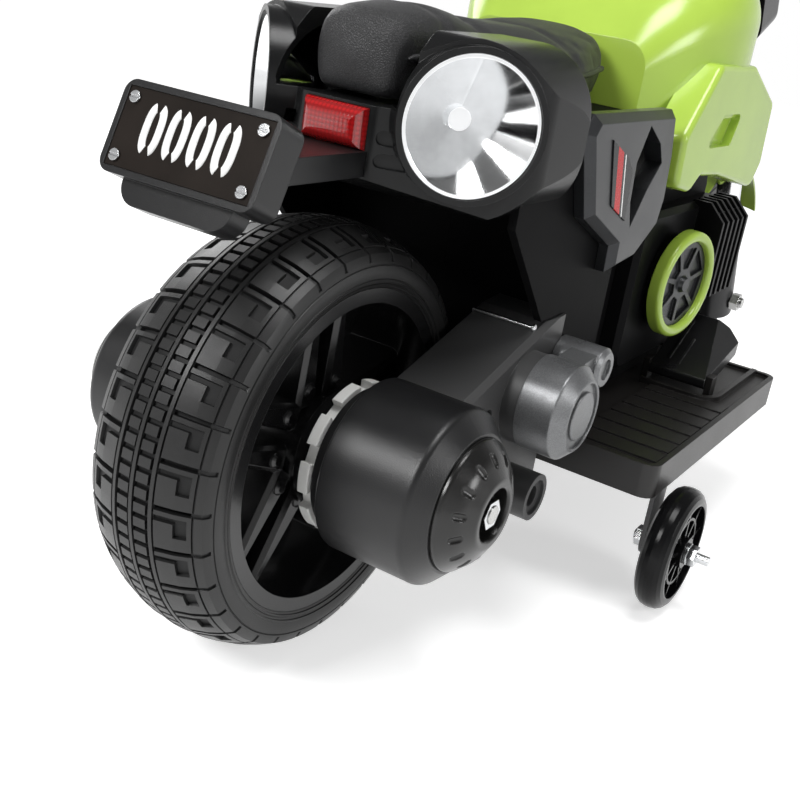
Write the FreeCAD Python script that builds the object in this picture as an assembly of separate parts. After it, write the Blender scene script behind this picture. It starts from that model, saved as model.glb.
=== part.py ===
import FreeCAD
import Part
import math
import os

# A child's electric motorbike on two large wheels, with a training wheel at each side.
# Millimetres and degrees. +X is forward, +Y is the rider's left, +Z is up. The ground is Z = 0.

# Fits and small edges
fit_gap = 0.2
running_gap = 0.06
clearance = 0.5
overrun = 5
weld = 2
edge_break = 1
edge_round = 2
corner_reach_share = 0.49

# Wheels
wheelbase = 720
tyre_od = 300
tyre_width = 96
tyre_shoulder_width = 90
tyre_crown_drop = 13
tyre_wall_height = 36
rim_flange_thick = 5
rim_flange_height = 7
rim_mouth_inset = 10
rim_wall = 6
rim_width = 92
hub_od = 62
hub_ring_od = 84
hub_ring_width = 10
spoke_pairs = 5
spoke_root_width = 20
spoke_tip_width = 9
spoke_gap = 9
spoke_spread = 5
spoke_depth = 44
spoke_bevel = 3
spoke_knob_d = 11
spoke_knob_rise = 3
spoke_knob_bevel = 2
axle_d = 12

# Rear drive units, one at each end of the rear axle
rear_axle_length = 324
axle_nut_flats = 18
axle_nut_thick = 9
gearbox_od = 106
gearbox_gap = 2
gearbox_disc_thick = 8
gearbox_spigot = 4
gearbox_notches = 10
gearbox_notch_width = 12
gearbox_notch_depth = 6
housing_od = 120
housing_wall = 3
housing_neck_od = 100
housing_inner_face = 67
housing_length = 64
housing_taper = 12
housing_mouth_d = 90
housing_edge_round = 6
housing_lip = 2
cap_seat = 4
cap_step = 3
cap_brow = 13
cap_brow_d = 71
cap_brow_round = 22
cap_height = 20
cap_lip_d = 46
cap_lip_round = 5
cap_well_d = 36
cap_well_floor = 9
cap_slots = 14
cap_slot_length = 12
cap_slot_width = 6.4
cap_slot_depth = 2
motor_d = 36
motor_length = 50
motor_rise = 32

# Rear arms
arm_inner_face = 56
arm_proud = 2
arm_bottom = 86
arm_top = 237
arm_bevel = 4
arm_profile_shares = [(0, 0.42), (0.17, 0.73), (0.85, 0.985), (1, 1), (1, 0.06), (0.70, 0), (0.25, 0.12)]
arm_slot_shares = [(0.37, 0.26), (0.45, 0.26), (0.45, 0.66), (0.37, 0.66)]
arm_slot_depth = 12
arm_slot_round = 5
arm_boss_ahead = 122
arm_boss_z = 112
arm_boss_d = 36
arm_boss_length = 26
arm_boss_bore_d = 16
arm_boss_groove_d = 27
arm_boss_groove_depth = 3

# Pivot covers on the arms
cover_ahead = 122
cover_z = 184
cover_d = 70
cover_depth = 36
cover_seat_rise = 12
cover_seat_d = 68
cover_bevel = 9
cover_groove_d = 48
cover_boss_d = 36
cover_groove_depth = 2.5
cover_minor_ahead = 176
cover_minor_z = 204
cover_minor_d = 32
cover_minor_depth = 38
cover_minor_well_d = 16
cover_minor_bevel = 3
cover_bridge_depth = 21
cover_bridge_height_share = 0.8

# Body shells
body_half_width = 110
body_wall = 3.5
body_rear_ahead = 64
haunch_foot_ahead = 134
haunch_drop = 19
bulkhead_ahead = 172
body_step_share = 0.3472
engine_half_width = 84
chest_head_gap = 40.6
chest_drop = 75
chest_knee_z = 200
throat_head_gap = 70.6
deck_rise = 45
arch_side_wall = 6
arch_front_ahead = 180
arch_gap = 30

# Footboard and accelerator pedal
board_rear_share = 0.2917
board_wheel_gap = 25
board_half_width = 196
board_top = 127
board_thick = 25
board_wall = 3
board_corner = 12
board_rim_width = 5
board_rim_height = 3
rib_width = 21
rib_height = 1.6
rib_pitch = 27
rib_body_gap = 6
rib_margin = 16
pedal_length = 87
pedal_toe_gap = 38
pedal_inner_y = 105
pedal_outer_y = 160
pedal_heel = 8
pedal_pivot_z = 138
pedal_pin_d = 8
pedal_pin_reach = 4
pedal_heel_z = 133
pedal_heel_top_z = 142
pedal_toe_z = 150
pedal_toe_top_z = 182
pedal_crest_share = 0.88
pedal_lip_share = 0.75
pedal_round = 3
pedal_facet_share = 0.6
pedal_facet_drop = 22
pedal_rib_width = 2
pedal_rib_height = 1.2
pedal_rib_places_shares = [(0.22, 0.16, 0.86), (0.42, 0.12, 0.56)]
tray_gap = 12
tray_width = 5
tray_height = 5
tray_corner = 16
pedal_ear_thick = 6
pedal_ear_width = 14
pedal_ear_top = 146
switch_box_length = 20
switch_box_width = 10
switch_box_height = 8
switch_plunger_d = 4
switch_plunger_rise = 1
switch_toe_gap = 29

# Training wheels
trainer_share = 0.35
trainer_y = 211
trainer_od = 104
trainer_width = 24
trainer_crest_width = 3
trainer_crown_height = 10
trainer_crown_bands = 4
trainer_tread_height = 12
trainer_web = 6
trainer_hub_d = 26
trainer_hub_width = 26
trainer_ribs = 9
trainer_rib_thick = 2.5
trainer_rib_sink = 3
trainer_ring_share = 0.5
strap_width = 26
strap_thick = 4
strap_outer_y = 192
strap_inner_y = 120
trainer_bolt_d = 8
trainer_bolt_length = 62
trainer_nut_flats = 15
trainer_nut_thick = 6.5
trainer_washer_d = 18
trainer_washer_thick = 2
trainer_spacer_d = 15
strap_bolt_spacing = 40

# Tail cowl, lamp, pipe ends and number plate
cowl_rear_ahead = 8
cowl_rear_half_width = 28
cowl_shoulder_ahead = 60
cowl_shoulder_proud = 7
cowl_front_ahead = 120
cowl_front_proud = 12
cowl_rear_drop = 44
cowl_drop = 63
cowl_rise = 49
cowl_rear_rise = 21
cowl_crest_ahead = 34
cowl_round = 12
cowl_shoulder_round = 30
cowl_flank_round = 46
trough_width_share = 0.6714
vent_rows = 2
vent_drop = 37
vent_pitch = 14
vent_height = 9
vent_length = 30
vent_depth = 3
vent_start = 3
lamp_half_width = 24
lamp_drop = 28
lamp_height = 26
lamp_depth = 12
lamp_seat = 4
lamp_round = 9
pipe_ahead = 38
pipe_inset = 31
pipe_drop = 3
pipe_yaw = 46
pipe_d = 88
pipe_wall = 2.5
pipe_depth = 30
pipe_throat_d = 20
pipe_collar_wall = 4
pipe_collar_rise = 8
pipe_collar_seat = 22
plate_tilt = 23
plate_behind = 133
plate_drop = 44
plate_width = 104
plate_height = 46
plate_thick = 1.5
holder_border = 4
holder_depth = 20
holder_round = 8
holder_recess = 2
holder_arm_width = 52
holder_arm_thick = 16
holder_tab_width = 80
holder_tab_drop = 14
holder_tab_thick = 16
holder_tab_round = 13
plate_screw_d = 7
plate_screw_shank_d = 3
plate_screw_shank = 8
plate_screw_rise = 1.5
plate_screw_root = 0.5
plate_screw_inset = 6
plate_screw_slot = 1.2

# Side panels and their inserts
panel_proud = 14
panel_rear_ahead = 123
panel_tank_gap = 3
panel_drop = 110
panel_rise = 10
panel_bevel = 6
panel_outline_shares = [
    (0.00, 0.89), (0.06, 0.72), (0.17, 0.39), (0.50, 0.17), (0.51, 0.00), (0.75, 0.04),
    (0.97, 0.23), (1.00, 0.42), (0.97, 0.72), (0.90, 1.00), (0.06, 1.00)]
panel_window_shares = [
    (0.61, 0.28), (0.72, 0.51), (0.83, 0.67), (0.76, 0.80), (0.60, 0.92), (0.525, 0.70), (0.55, 0.45)]
panel_slot_shares = [(0.21, 0.86), (0.33, 0.46), (0.52, 0.34), (0.49, 0.65), (0.41, 0.74)]
panel_slot_depth = 6
insert_proud = 1

# Tank cover with its side wings, dash and controls
tank_rear_share = 0.4194
tank_head_gap = 74.6
tank_station_shares = [0, 0.33, 0.66, 0.9072, 1]
tank_half_width = 124
tank_width_shares = [0.66, 0.95, 1.0, 0.86, 0.68]
tank_height = 126
tank_height_shares = [0.42, 0.88, 1.0, 0.88, 0.66]
tank_round_share = 0.4
tank_cavity_half_width = 86
tank_cavity_height = 60
tank_cavity_inset = 28
wing_inner_y = 100
wing_outer_y = 128
wing_reach = 44
wing_drop = 67
wing_rise = 45
wing_round = 10
wing_outline_shares = [
    (0.00, 0.50), (0.02, 0.14), (0.17, 0.08), (0.25, 0.19), (0.47, 0.16), (0.93, 0.00),
    (1.00, 0.20), (0.96, 0.72), (0.62, 1.00), (0.22, 1.00)]
wing_window_shares = [(0.22, 0.40), (0.50, 0.40), (0.56, 0.64), (0.36, 0.64)]
wing_window_depth = 8
dash_place_share = 0.428
dash_length_share = 0.433
dash_half_width = 44
dash_thick = 14
dash_sink = 8
dash_round = 10
rocker_length = 24
rocker_width = 14
rocker_height = 9
rocker_end_play = 1.2
rocker_rise = 2
rocker_pin_d = 3
rocker_pin_reach = 2.5
rocker_ahead_share = 0.3
rocker_y = 24
horn_d = 16
horn_rise = 3
horn_travel = 1.5
horn_foot = 3
horn_ahead_share = 0.74

# Seat
seat_rear_ahead = 14
seat_tank_gap = 4
seat_station_shares = [0, 0.2042, 0.4085, 0.7042, 1]
seat_inset = 40
seat_width_shares = [0.50, 0.57, 0.64, 1.0, 0.74]
seat_height = 62
seat_height_shares = [0.92, 1.0, 0.84, 0.80, 0.98]
seat_foot_share = 0.86
seat_bulge_height_share = 0.5
seat_shoulder_share = 0.82
seat_shoulder_height_share = 0.88
seat_channel_d = 9
seat_channel_depth = 2.5

# Engine dress-up at each side
case_rear_share = 0.4583
case_reach = 18
case_bottom = 150
case_drop = 83
case_face_y = 102
case_round = 16
case_bevel = 5
clutch_place_share = 0.3532
clutch_lift = 6
clutch_y = 114
clutch_yaw = 8.6
clutch_boss_d = 84
clutch_ring_od = 98
clutch_ring_id = 79
clutch_ring_thick = 13
clutch_ring_round = 4
clutch_disc_thick = 7
clutch_disc_windows = 7
clutch_disc_window_depth = 3
clutch_disc_window_shares = (0.36, 0.84)
clutch_disc_rib = 5
clutch_hub_d = 16
clutch_hub_rise = 4
fin_count = 6
fin_thick = 5
fin_clutch_gap = 8
fin_end_gap = 4
fin_clutch_drop = 22
fin_case_rise = 2
fin_outer_y = 128
fin_corner = 16
fin_core_inset = 9

# Battery, control box and charging socket
battery_step_gap = 8
battery_length = 151
battery_width = 65
battery_height = 94
battery_tab_length = 7
battery_tab_thick = 2
battery_tab_height = 6
battery_tab_inset = 14
control_length = 90
control_width = 60
control_height = 30
socket_forward = 7
socket_z = 180
socket_d = 18
socket_flange_d = 24
socket_flange_thick = 3
socket_depth = 20
socket_bore_d = 5.7
socket_bore_depth = 12

# Steering: sizes along and across the steering axis, from the middle of the steering head
rake = 24
fork_offset = 30
head_deck_rise = 36.86
head_half_length = 50
head_half_width = 38
head_back = 104
head_front = 32
stem_d = 26
lower_yoke_gap = 3
lower_yoke_thick = 22
yoke_half_width = 92
yoke_back = 18
yoke_front = 48
yoke_round = 20
top_yoke_half_width = 66
top_yoke_back = 17
top_yoke_round = 20
top_yoke_gap = 4
top_yoke_thick = 16
stem_top = 62
leg_y = 70
stanchion_d = 26
slider_d = 38
slider_top = -180
slider_foot = 18
leg_top = -48
front_axle_length = 204
mudguard_gap = 9
mudguard_thick = 3
mudguard_start = 35
mudguard_end = 150
mudguard_crown = 8
bar_d = 22
bar_clamp_z = 150
bar_rise_z = 205
bar_centre_half = 70
bar_bend_y = 122
bar_bend_back = 20
bar_end_y = 252
bar_end_back = 62
bar_bend_radius = 36
riser_d = 28
riser_y = 30
grip_d = 33
grip_length = 92
grip_ribs = 6
grip_rib_height = 1.5
grip_rib_width = 5
grip_end_wall = 4
mirror_post_y = 58
mirror_boss_d = 24
mirror_boss_height = 30
mirror_socket_depth = 16
mirror_post_d = 14
mirror_post_top = 232
mirror_stalk_d = 9
mirror_head_y = 178
mirror_head_z = 282
mirror_head_width = 86
mirror_head_height = 50
mirror_head_thick = 16
mirror_head_round = 7
mirror_glass_border = 5
mirror_glass_depth = 1.5
lamp_shell_back = 64
lamp_shell_front = 126
lamp_shell_half_width = 72
lamp_shell_bottom = -6
lamp_shell_top = 92
lamp_shell_round = 18
lens_half_width = 56
lens_bottom = 10
lens_top = 74
lens_proud = 4
lens_seat = 8
lens_round = 14
lamp_arm_y = 48
lamp_arm_width = 12
lamp_arm_thick = 9
screen_half_width = 84
screen_base_front = 118
screen_base_back = 80
screen_height = 128
screen_lean = 40
screen_thick = 3

# Places that follow from the sizes above; "ahead" is a distance in front of the rear axle
rear_x = -wheelbase / 2
front_x = wheelbase / 2
axle_z = tyre_od / 2
axle_r = axle_d / 2
rim_flange_od = tyre_od - 2 * tyre_wall_height
rim_seat_od = rim_flange_od - 2 * rim_flange_height
rim_mouth_d = rim_flange_od - 2 * rim_mouth_inset
arch_top = tyre_od + arch_gap
deck_z = arch_top + deck_rise
haunch_low_z = arch_top - haunch_drop
chest_z = deck_z - chest_drop
cowl_rear_bottom = deck_z - cowl_rear_drop
cowl_bottom = deck_z - cowl_drop
cowl_top = deck_z + cowl_rise
cowl_rear_top = deck_z + cowl_rear_rise
vent_low_z = deck_z - vent_drop
lamp_bottom = deck_z - lamp_drop
pipe_z = deck_z - pipe_drop
plate_low_z = deck_z - plate_drop
panel_bottom = deck_z - panel_drop
panel_top = deck_z + panel_rise
wing_bottom = deck_z - wing_drop
wing_top = deck_z + wing_rise
case_top = deck_z - case_drop
clutch_z = (case_bottom + case_top) / 2 + clutch_lift
fin_bottom = clutch_z - fin_clutch_drop
fin_top = case_top + fin_case_rise
housing_mouth_y = housing_inner_face + housing_length + housing_taper
board_bottom = board_top - board_thick
trainer_z = trainer_od / 2
arm_outer_face = body_half_width + arm_proud
arch_half_width = body_half_width - arch_side_wall
cowl_shoulder_half_width = body_half_width + cowl_shoulder_proud
cowl_front_half_width = body_half_width + cowl_front_proud
pipe_y = body_half_width - pipe_inset
panel_outer_y = body_half_width + panel_proud
rib_inner_y = body_half_width + rib_body_gap
seat_half_width = body_half_width - seat_inset
trough_half_width = trough_width_share * seat_half_width
rake_sine = math.sin(math.radians(rake))
rake_cosine = math.cos(math.radians(rake))
fork_length = (deck_z + head_deck_rise - axle_z + fork_offset * rake_sine) / rake_cosine
head_ahead = wheelbase - fork_offset * rake_cosine - fork_length * rake_sine
body_step_ahead = body_step_share * wheelbase
throat_ahead = head_ahead - throat_head_gap
chest_ahead = head_ahead - chest_head_gap
board_rear_ahead = board_rear_share * wheelbase
board_front_ahead = wheelbase - tyre_od / 2 - board_wheel_gap
pedal_front_ahead = board_front_ahead - pedal_toe_gap
pedal_rear_ahead = pedal_front_ahead - pedal_length
pedal_pivot_ahead = pedal_rear_ahead + pedal_heel
switch_box_ahead = pedal_front_ahead - switch_toe_gap
trainer_ahead = trainer_share * wheelbase
tank_rear_ahead = tank_rear_share * wheelbase
tank_front_ahead = head_ahead - tank_head_gap
tank_length = tank_front_ahead - tank_rear_ahead
wing_front_ahead = tank_front_ahead + wing_reach
dash_ahead = tank_rear_ahead + dash_place_share * tank_length
dash_length = dash_length_share * tank_length
panel_front_ahead = tank_rear_ahead - panel_tank_gap
seat_front_ahead = tank_rear_ahead - seat_tank_gap
seat_length = seat_front_ahead - seat_rear_ahead
seat_station_aheads = [seat_rear_ahead + share * seat_length for share in seat_station_shares]
case_rear_ahead = case_rear_share * wheelbase
case_front_ahead = chest_ahead + case_reach
clutch_ahead = case_rear_ahead + clutch_place_share * (case_front_ahead - case_rear_ahead)
fin_rear_ahead = clutch_ahead + clutch_ring_od / 2 + fin_clutch_gap
fin_pitch = (case_front_ahead - fin_end_gap - fin_thick - fin_rear_ahead) / (fin_count - 1)
battery_rear_ahead = body_step_ahead + battery_step_gap
socket_ahead = (arch_front_ahead + body_step_ahead) / 2 + socket_forward


def vec(x, y, z):
    """A point or a direction."""
    return FreeCAD.Vector(x, y, z)


def ahead(distance):
    """The X place that lies this far in front of the rear axle."""
    return rear_x + distance


head_tilt = FreeCAD.Rotation(vec(0, 1, 0), -rake)
front_axle_place = vec(front_x, 0, axle_z)
head_place = front_axle_place - head_tilt.multVec(vec(fork_offset, 0, -fork_length))


def block(x0, x1, y0, y1, z0, z1):
    """A box between two corners."""
    return Part.makeBox(x1 - x0, y1 - y0, z1 - z0, vec(x0, y0, z0))


def rod(diameter, start, end):
    """A round bar between two points."""
    return Part.makeCylinder(diameter / 2, (end - start).Length, start, end - start)


def fused(shapes):
    """One solid from pieces that overlap."""
    return shapes[0].fuse(shapes[1:]).removeSplitter()


def mirrored(shape):
    """The same piece on the other side of the bike."""
    return shape.mirror(vec(0, 0, 0), vec(0, 1, 0))


def both_sides(shape):
    """A piece and its mirror image as one shape."""
    return Part.makeCompound([shape, mirrored(shape)])


def steered(shape):
    """Carry a shape from the upright steering frame to its raked place."""
    return shape.transformed(FreeCAD.Placement(head_place, head_tilt).toMatrix(), True)


def spread(shares, x0, x1, z0, z1):
    """Places on a rectangle from shares of its two sides."""
    return [(x0 + a * (x1 - x0), z0 + b * (z1 - z0)) for a, b in shares]


def rounded_face(points, radii):
    """A flat face with straight sides, each corner rounded by its own radius."""
    count = len(points)
    if not isinstance(radii, list):
        radii = [radii] * count
    starts = []
    ends = []
    middles = []
    for i in range(count):
        corner = points[i]
        to_last = points[i - 1] - corner
        to_next = points[(i + 1) % count] - corner
        half_angle = to_last.getAngle(to_next) / 2
        reach = min(radii[i] / math.tan(half_angle), corner_reach_share * min(to_last.Length, to_next.Length))
        radius = reach * math.tan(half_angle)
        to_last.normalize()
        to_next.normalize()
        starts.append(corner + to_last * reach)
        ends.append(corner + to_next * reach)
        inward = (to_last + to_next).normalize()
        middles.append(corner + inward * (radius / math.sin(half_angle) - radius))
    edges = []
    for i in range(count):
        if radii[i] > 0:
            edges.append(Part.Arc(starts[i], middles[i], ends[i]).toShape())
        edges.append(Part.LineSegment(ends[i], starts[(i + 1) % count]).toShape())
    return Part.Face(Part.Wire(edges))


def slab(points, radii, y0, y1):
    """A side outline in X and Z, given thickness across the bike."""
    return rounded_face([vec(x, y0, z) for x, z in points], radii).extrude(vec(0, y1 - y0, 0))


def plate(points, radii, z0, z1):
    """A plan outline in X and Y, given height."""
    return rounded_face([vec(x, y, z0) for x, y in points], radii).extrude(vec(0, 0, z1 - z0))


def turned(points, radii, x, z):
    """An outline in Y and radius, turned round a cross-wise axis at X and Z."""
    face = rounded_face([vec(x, y, z + r) for y, r in points], radii)
    return face.revolve(vec(x, 0, z), vec(0, 1, 0), 360)


def hexagon(flats, x, z, y0, y1):
    """A nut blank with its axis across the bike."""
    corner = flats / math.sqrt(3)
    turns = [math.radians(60 * i) for i in range(6)]
    return slab([(x + corner * math.cos(a), z + corner * math.sin(a)) for a in turns], 0, y0, y1)


def edges_where(shape, test):
    """The edges of a shape whose middle point passes a test."""
    return [edge for edge in shape.Edges if test(edge.CenterOfMass)]


def save(name, shape):
    """Write one node, after seeing that it is a sound solid."""
    if not shape.isValid() or shape.Volume <= 0:
        raise ValueError(name + " is not a sound solid")
    shape.exportStep("parts/" + name + ".step")
    print(name, len(shape.Solids), round(shape.Volume / 1000, 1), "cm3")


# Wheels

def tyre(x):
    """A moulded tyre: crowned tread, bulged sidewalls and a seat that drops between the rim flanges."""
    seat_r = rim_seat_od / 2 + fit_gap
    foot_r = rim_flange_od / 2 + fit_gap
    seat_y = rim_width / 2 - rim_flange_thick - fit_gap
    foot_y = rim_width / 2
    shoulder_y = tyre_shoulder_width / 2
    shoulder_r = tyre_od / 2 - tyre_crown_drop
    side_r = (foot_r + shoulder_r) / 2

    def at(y, r):
        return vec(x, y, axle_z + r)

    def line(a, b):
        return Part.LineSegment(at(*a), at(*b)).toShape()

    def arc(a, b, c):
        return Part.Arc(at(*a), at(*b), at(*c)).toShape()

    edges = [
        line((-seat_y, seat_r), (seat_y, seat_r)),
        line((seat_y, seat_r), (seat_y, foot_r)),
        line((seat_y, foot_r), (foot_y, foot_r)),
        arc((foot_y, foot_r), (tyre_width / 2, side_r), (shoulder_y, shoulder_r)),
        arc((shoulder_y, shoulder_r), (0, tyre_od / 2), (-shoulder_y, shoulder_r)),
        arc((-shoulder_y, shoulder_r), (-tyre_width / 2, side_r), (-foot_y, foot_r)),
        line((-foot_y, foot_r), (-seat_y, foot_r)),
        line((-seat_y, foot_r), (-seat_y, seat_r)),
    ]
    face = Part.Face(Part.Wire(edges))
    return face.revolve(vec(x, 0, axle_z), vec(0, 1, 0), 360)


def rim_barrel(x):
    """The ring of the rim with its two flanges and sloped mouths."""
    edge_y = rim_width / 2
    seat_y = edge_y - rim_flange_thick
    web_y = spoke_depth / 2
    flange_r = rim_flange_od / 2
    seat_r = rim_seat_od / 2
    half = [(edge_y, flange_r), (edge_y, rim_mouth_d / 2), (web_y, seat_r - rim_wall)]
    other = [(-web_y, seat_r - rim_wall), (-edge_y, rim_mouth_d / 2), (-edge_y, flange_r)]
    seat = [(-seat_y, flange_r), (-seat_y, seat_r), (seat_y, seat_r), (seat_y, flange_r)]
    return turned(half + other + seat, 0, x, axle_z)


def spoke(x):
    """One bar of a split spoke, standing straight up from the hub, with bevelled edges and a knob."""
    root_z = axle_z + hub_od / 2 - weld
    tip_z = axle_z + rim_seat_od / 2 - rim_wall + weld
    root_x = x + spoke_gap / 2
    tip_x = root_x + spoke_spread
    sides = [(root_x, root_z), (root_x + spoke_root_width, root_z), (tip_x + spoke_tip_width, tip_z),
             (tip_x, tip_z)]
    bar = slab(sides, 0, -spoke_depth / 2, spoke_depth / 2)
    long_edges = [e for e in bar.Edges if e.BoundBox.ZLength > (tip_z - root_z) / 2]
    bar = bar.makeChamfer(spoke_bevel, long_edges)
    knob_x = root_x + spoke_root_width / 2
    knob_z = root_z + spoke_knob_d
    knob_y = spoke_depth / 2 + spoke_knob_rise
    knob = rod(spoke_knob_d, vec(knob_x, -knob_y, knob_z), vec(knob_x, knob_y, knob_z))
    knob = knob.makeChamfer(spoke_knob_bevel, edges_where(knob, lambda c: abs(c.y) > spoke_depth / 2))
    return bar.fuse(knob)


def rim(x):
    """A moulded wheel: barrel, hub with end rings, and pairs of split spokes."""
    hub_y = rim_width / 2
    ring_y = hub_y - hub_ring_width
    hub_r = hub_od / 2
    ring_r = hub_ring_od / 2
    hub = turned([(-hub_y, 0), (-hub_y, ring_r), (-ring_y, ring_r), (-ring_y, hub_r),
                  (ring_y, hub_r), (ring_y, ring_r), (hub_y, ring_r), (hub_y, 0)], 0, x, axle_z)
    pieces = [rim_barrel(x), hub]
    bar = spoke(x)
    twin = bar.mirror(vec(x, 0, axle_z), vec(1, 0, 0))
    for i in range(spoke_pairs):
        for piece in (bar, twin):
            turn = piece.copy()
            turn.rotate(vec(x, 0, axle_z), vec(0, 1, 0), 360 / spoke_pairs * i)
            pieces.append(turn)
    bore = rod(axle_d + 2 * running_gap, vec(x, -hub_y - overrun, axle_z), vec(x, hub_y + overrun, axle_z))
    return fused(pieces).cut(bore)


# Rear drive

def motor_housing():
    """A round plastic cup with a neck towards the wheel and a tapered mouth."""
    outer_r = housing_od / 2
    inner_r = outer_r - housing_wall
    neck_r = housing_neck_od / 2
    neck_inner_r = neck_r - housing_wall
    mouth_r = housing_mouth_d / 2
    neck_y = rim_width / 2 + gearbox_gap + gearbox_disc_thick + fit_gap
    floor_y = housing_inner_face + housing_wall
    turn_y = housing_inner_face + housing_length
    outline = [(neck_y, neck_inner_r), (neck_y, neck_r), (housing_inner_face, neck_r),
               (housing_inner_face, outer_r),
               (turn_y, outer_r), (housing_mouth_y, mouth_r + housing_lip), (housing_mouth_y, mouth_r),
               (housing_mouth_y - cap_seat, mouth_r), (turn_y - housing_wall, inner_r), (floor_y, inner_r),
               (floor_y, neck_inner_r)]
    rounds = [0, edge_break, 0, edge_round, housing_edge_round, edge_break, 0, 0, 0, 0, 0]
    return turned(outline, rounds, rear_x, axle_z)


def motor_cap():
    """A domed cap with a ring of oval dimples and a well for the axle nut."""
    cap_r = housing_mouth_d / 2 - fit_gap
    well_r = cap_well_d / 2
    bore_r = axle_r + fit_gap
    back_y = housing_mouth_y - cap_seat
    step_y = housing_mouth_y + cap_step
    brow_y = housing_mouth_y + cap_brow
    top_y = housing_mouth_y + cap_height
    floor_y = housing_mouth_y + cap_well_floor
    outline = [(back_y, bore_r), (back_y, cap_r), (step_y, cap_r), (brow_y, cap_brow_d / 2),
               (top_y, cap_lip_d / 2),
               (top_y, well_r), (floor_y, well_r - weld), (floor_y, bore_r)]
    cap = turned(outline, [0, 0, cap_step, cap_brow_round, cap_lip_round, edge_round, edge_break, 0],
                 rear_x, axle_z)
    half_run = (cap_slot_length - cap_slot_width) / 2
    slot_r = cap_slot_width / 2
    slope = vec(0, top_y - step_y, cap_lip_d / 2 - cap_r).normalize()
    outward = vec(0, -slope.z, slope.y)
    middle = vec(rear_x, brow_y, axle_z + cap_brow_d / 2) + outward * (slot_r - cap_slot_depth)
    start = middle - slope * half_run
    end = middle + slope * half_run
    round_ends = [Part.makeSphere(slot_r, start), Part.makeSphere(slot_r, end)]
    slot = fused([rod(cap_slot_width, start, end)] + round_ends)
    slots = []
    for i in range(cap_slots):
        turn = slot.copy()
        turn.rotate(vec(rear_x, 0, axle_z), vec(0, 1, 0), 360 / cap_slots * i)
        slots.append(turn)
    return cap.cut(slots)


def gearbox():
    """The gearbox case between wheel and housing: a notched disc and a spigot in the housing's neck."""
    bore_r = axle_r + fit_gap
    disc_r = gearbox_od / 2
    spigot_r = housing_neck_od / 2 - housing_wall - fit_gap
    near_y = rim_width / 2 + gearbox_gap
    disc_y = near_y + gearbox_disc_thick
    far_y = housing_inner_face + gearbox_spigot
    outline = [(near_y, bore_r), (near_y, disc_r), (disc_y, disc_r), (disc_y, spigot_r), (far_y, spigot_r),
               (far_y, bore_r)]
    case = turned(outline, [0, edge_break, edge_break, 0, 0, 0], rear_x, axle_z)
    notch = block(rear_x - gearbox_notch_width / 2, rear_x + gearbox_notch_width / 2,
                  near_y - overrun, disc_y + overrun,
                  axle_z + disc_r - gearbox_notch_depth, axle_z + disc_r + overrun)
    notches = []
    for i in range(gearbox_notches):
        turn = notch.copy()
        turn.rotate(vec(rear_x, 0, axle_z), vec(0, 1, 0), 360 / gearbox_notches * i)
        notches.append(turn)
    return case.cut(notches)


def drive_motor():
    """A round motor on the back of the gearbox, above the axle."""
    start_y = housing_inner_face + gearbox_spigot
    motor_z = axle_z + motor_rise
    return rod(motor_d, vec(rear_x, start_y, motor_z), vec(rear_x, start_y + motor_length, motor_z))


def axle(x, length):
    """A plain axle across the bike."""
    return rod(axle_d, vec(x, -length / 2, axle_z), vec(x, length / 2, axle_z))


def axle_nut(x, y):
    """A hexagon nut on an axle, with its inner face at Y."""
    nut = hexagon(axle_nut_flats, x, axle_z, y, y + axle_nut_thick)
    bore = rod(axle_d + 2 * fit_gap, vec(x, y - overrun, axle_z),
               vec(x, y + axle_nut_thick + overrun, axle_z))
    return nut.cut(bore)


# Rear arms and their covers

def rear_arm():
    """A flat-topped arm that cradles the motor housing and bolts to the body's bulkhead."""
    front = ahead(bulkhead_ahead) - fit_gap
    outline = spread(arm_profile_shares, rear_x, front, arm_bottom, arm_top)
    arm = slab(outline, 0, arm_inner_face, arm_outer_face)
    arm = arm.makeChamfer(arm_bevel, [e for e in arm.Edges if e.BoundBox.YLength < fit_gap
                                      and e.CenterOfMass.y > arm_outer_face - fit_gap
                                      and e.BoundBox.XLength > (front - rear_x) / 2
                                      and e.CenterOfMass.z > axle_z])
    boss_x = ahead(arm_boss_ahead)
    tip_y = arm_outer_face + arm_boss_length
    boss = rod(arm_boss_d, vec(boss_x, arm_inner_face, arm_boss_z), vec(boss_x, tip_y, arm_boss_z))
    cover_x = ahead(cover_ahead)
    seat = rod(cover_seat_d, vec(cover_x, arm_inner_face + weld, cover_z),
               vec(cover_x, arm_outer_face + cover_seat_rise, cover_z))
    groove_y = tip_y - arm_boss_groove_depth
    groove = rod(arm_boss_groove_d, vec(boss_x, groove_y, arm_boss_z),
                 vec(boss_x, tip_y + overrun, arm_boss_z))
    bore = rod(arm_boss_bore_d, vec(boss_x, arm_outer_face, arm_boss_z),
               vec(boss_x, tip_y + overrun, arm_boss_z))
    slot = slab(spread(arm_slot_shares, rear_x, front, arm_bottom, arm_top), arm_slot_round,
                arm_outer_face - arm_slot_depth, arm_outer_face + overrun)
    cradle = rod(housing_od + 2 * fit_gap, vec(rear_x, 0, axle_z),
                 vec(rear_x, arm_outer_face + overrun, axle_z))
    return fused([arm.cut(slot), boss, seat]).cut([groove, bore, cradle])


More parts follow.
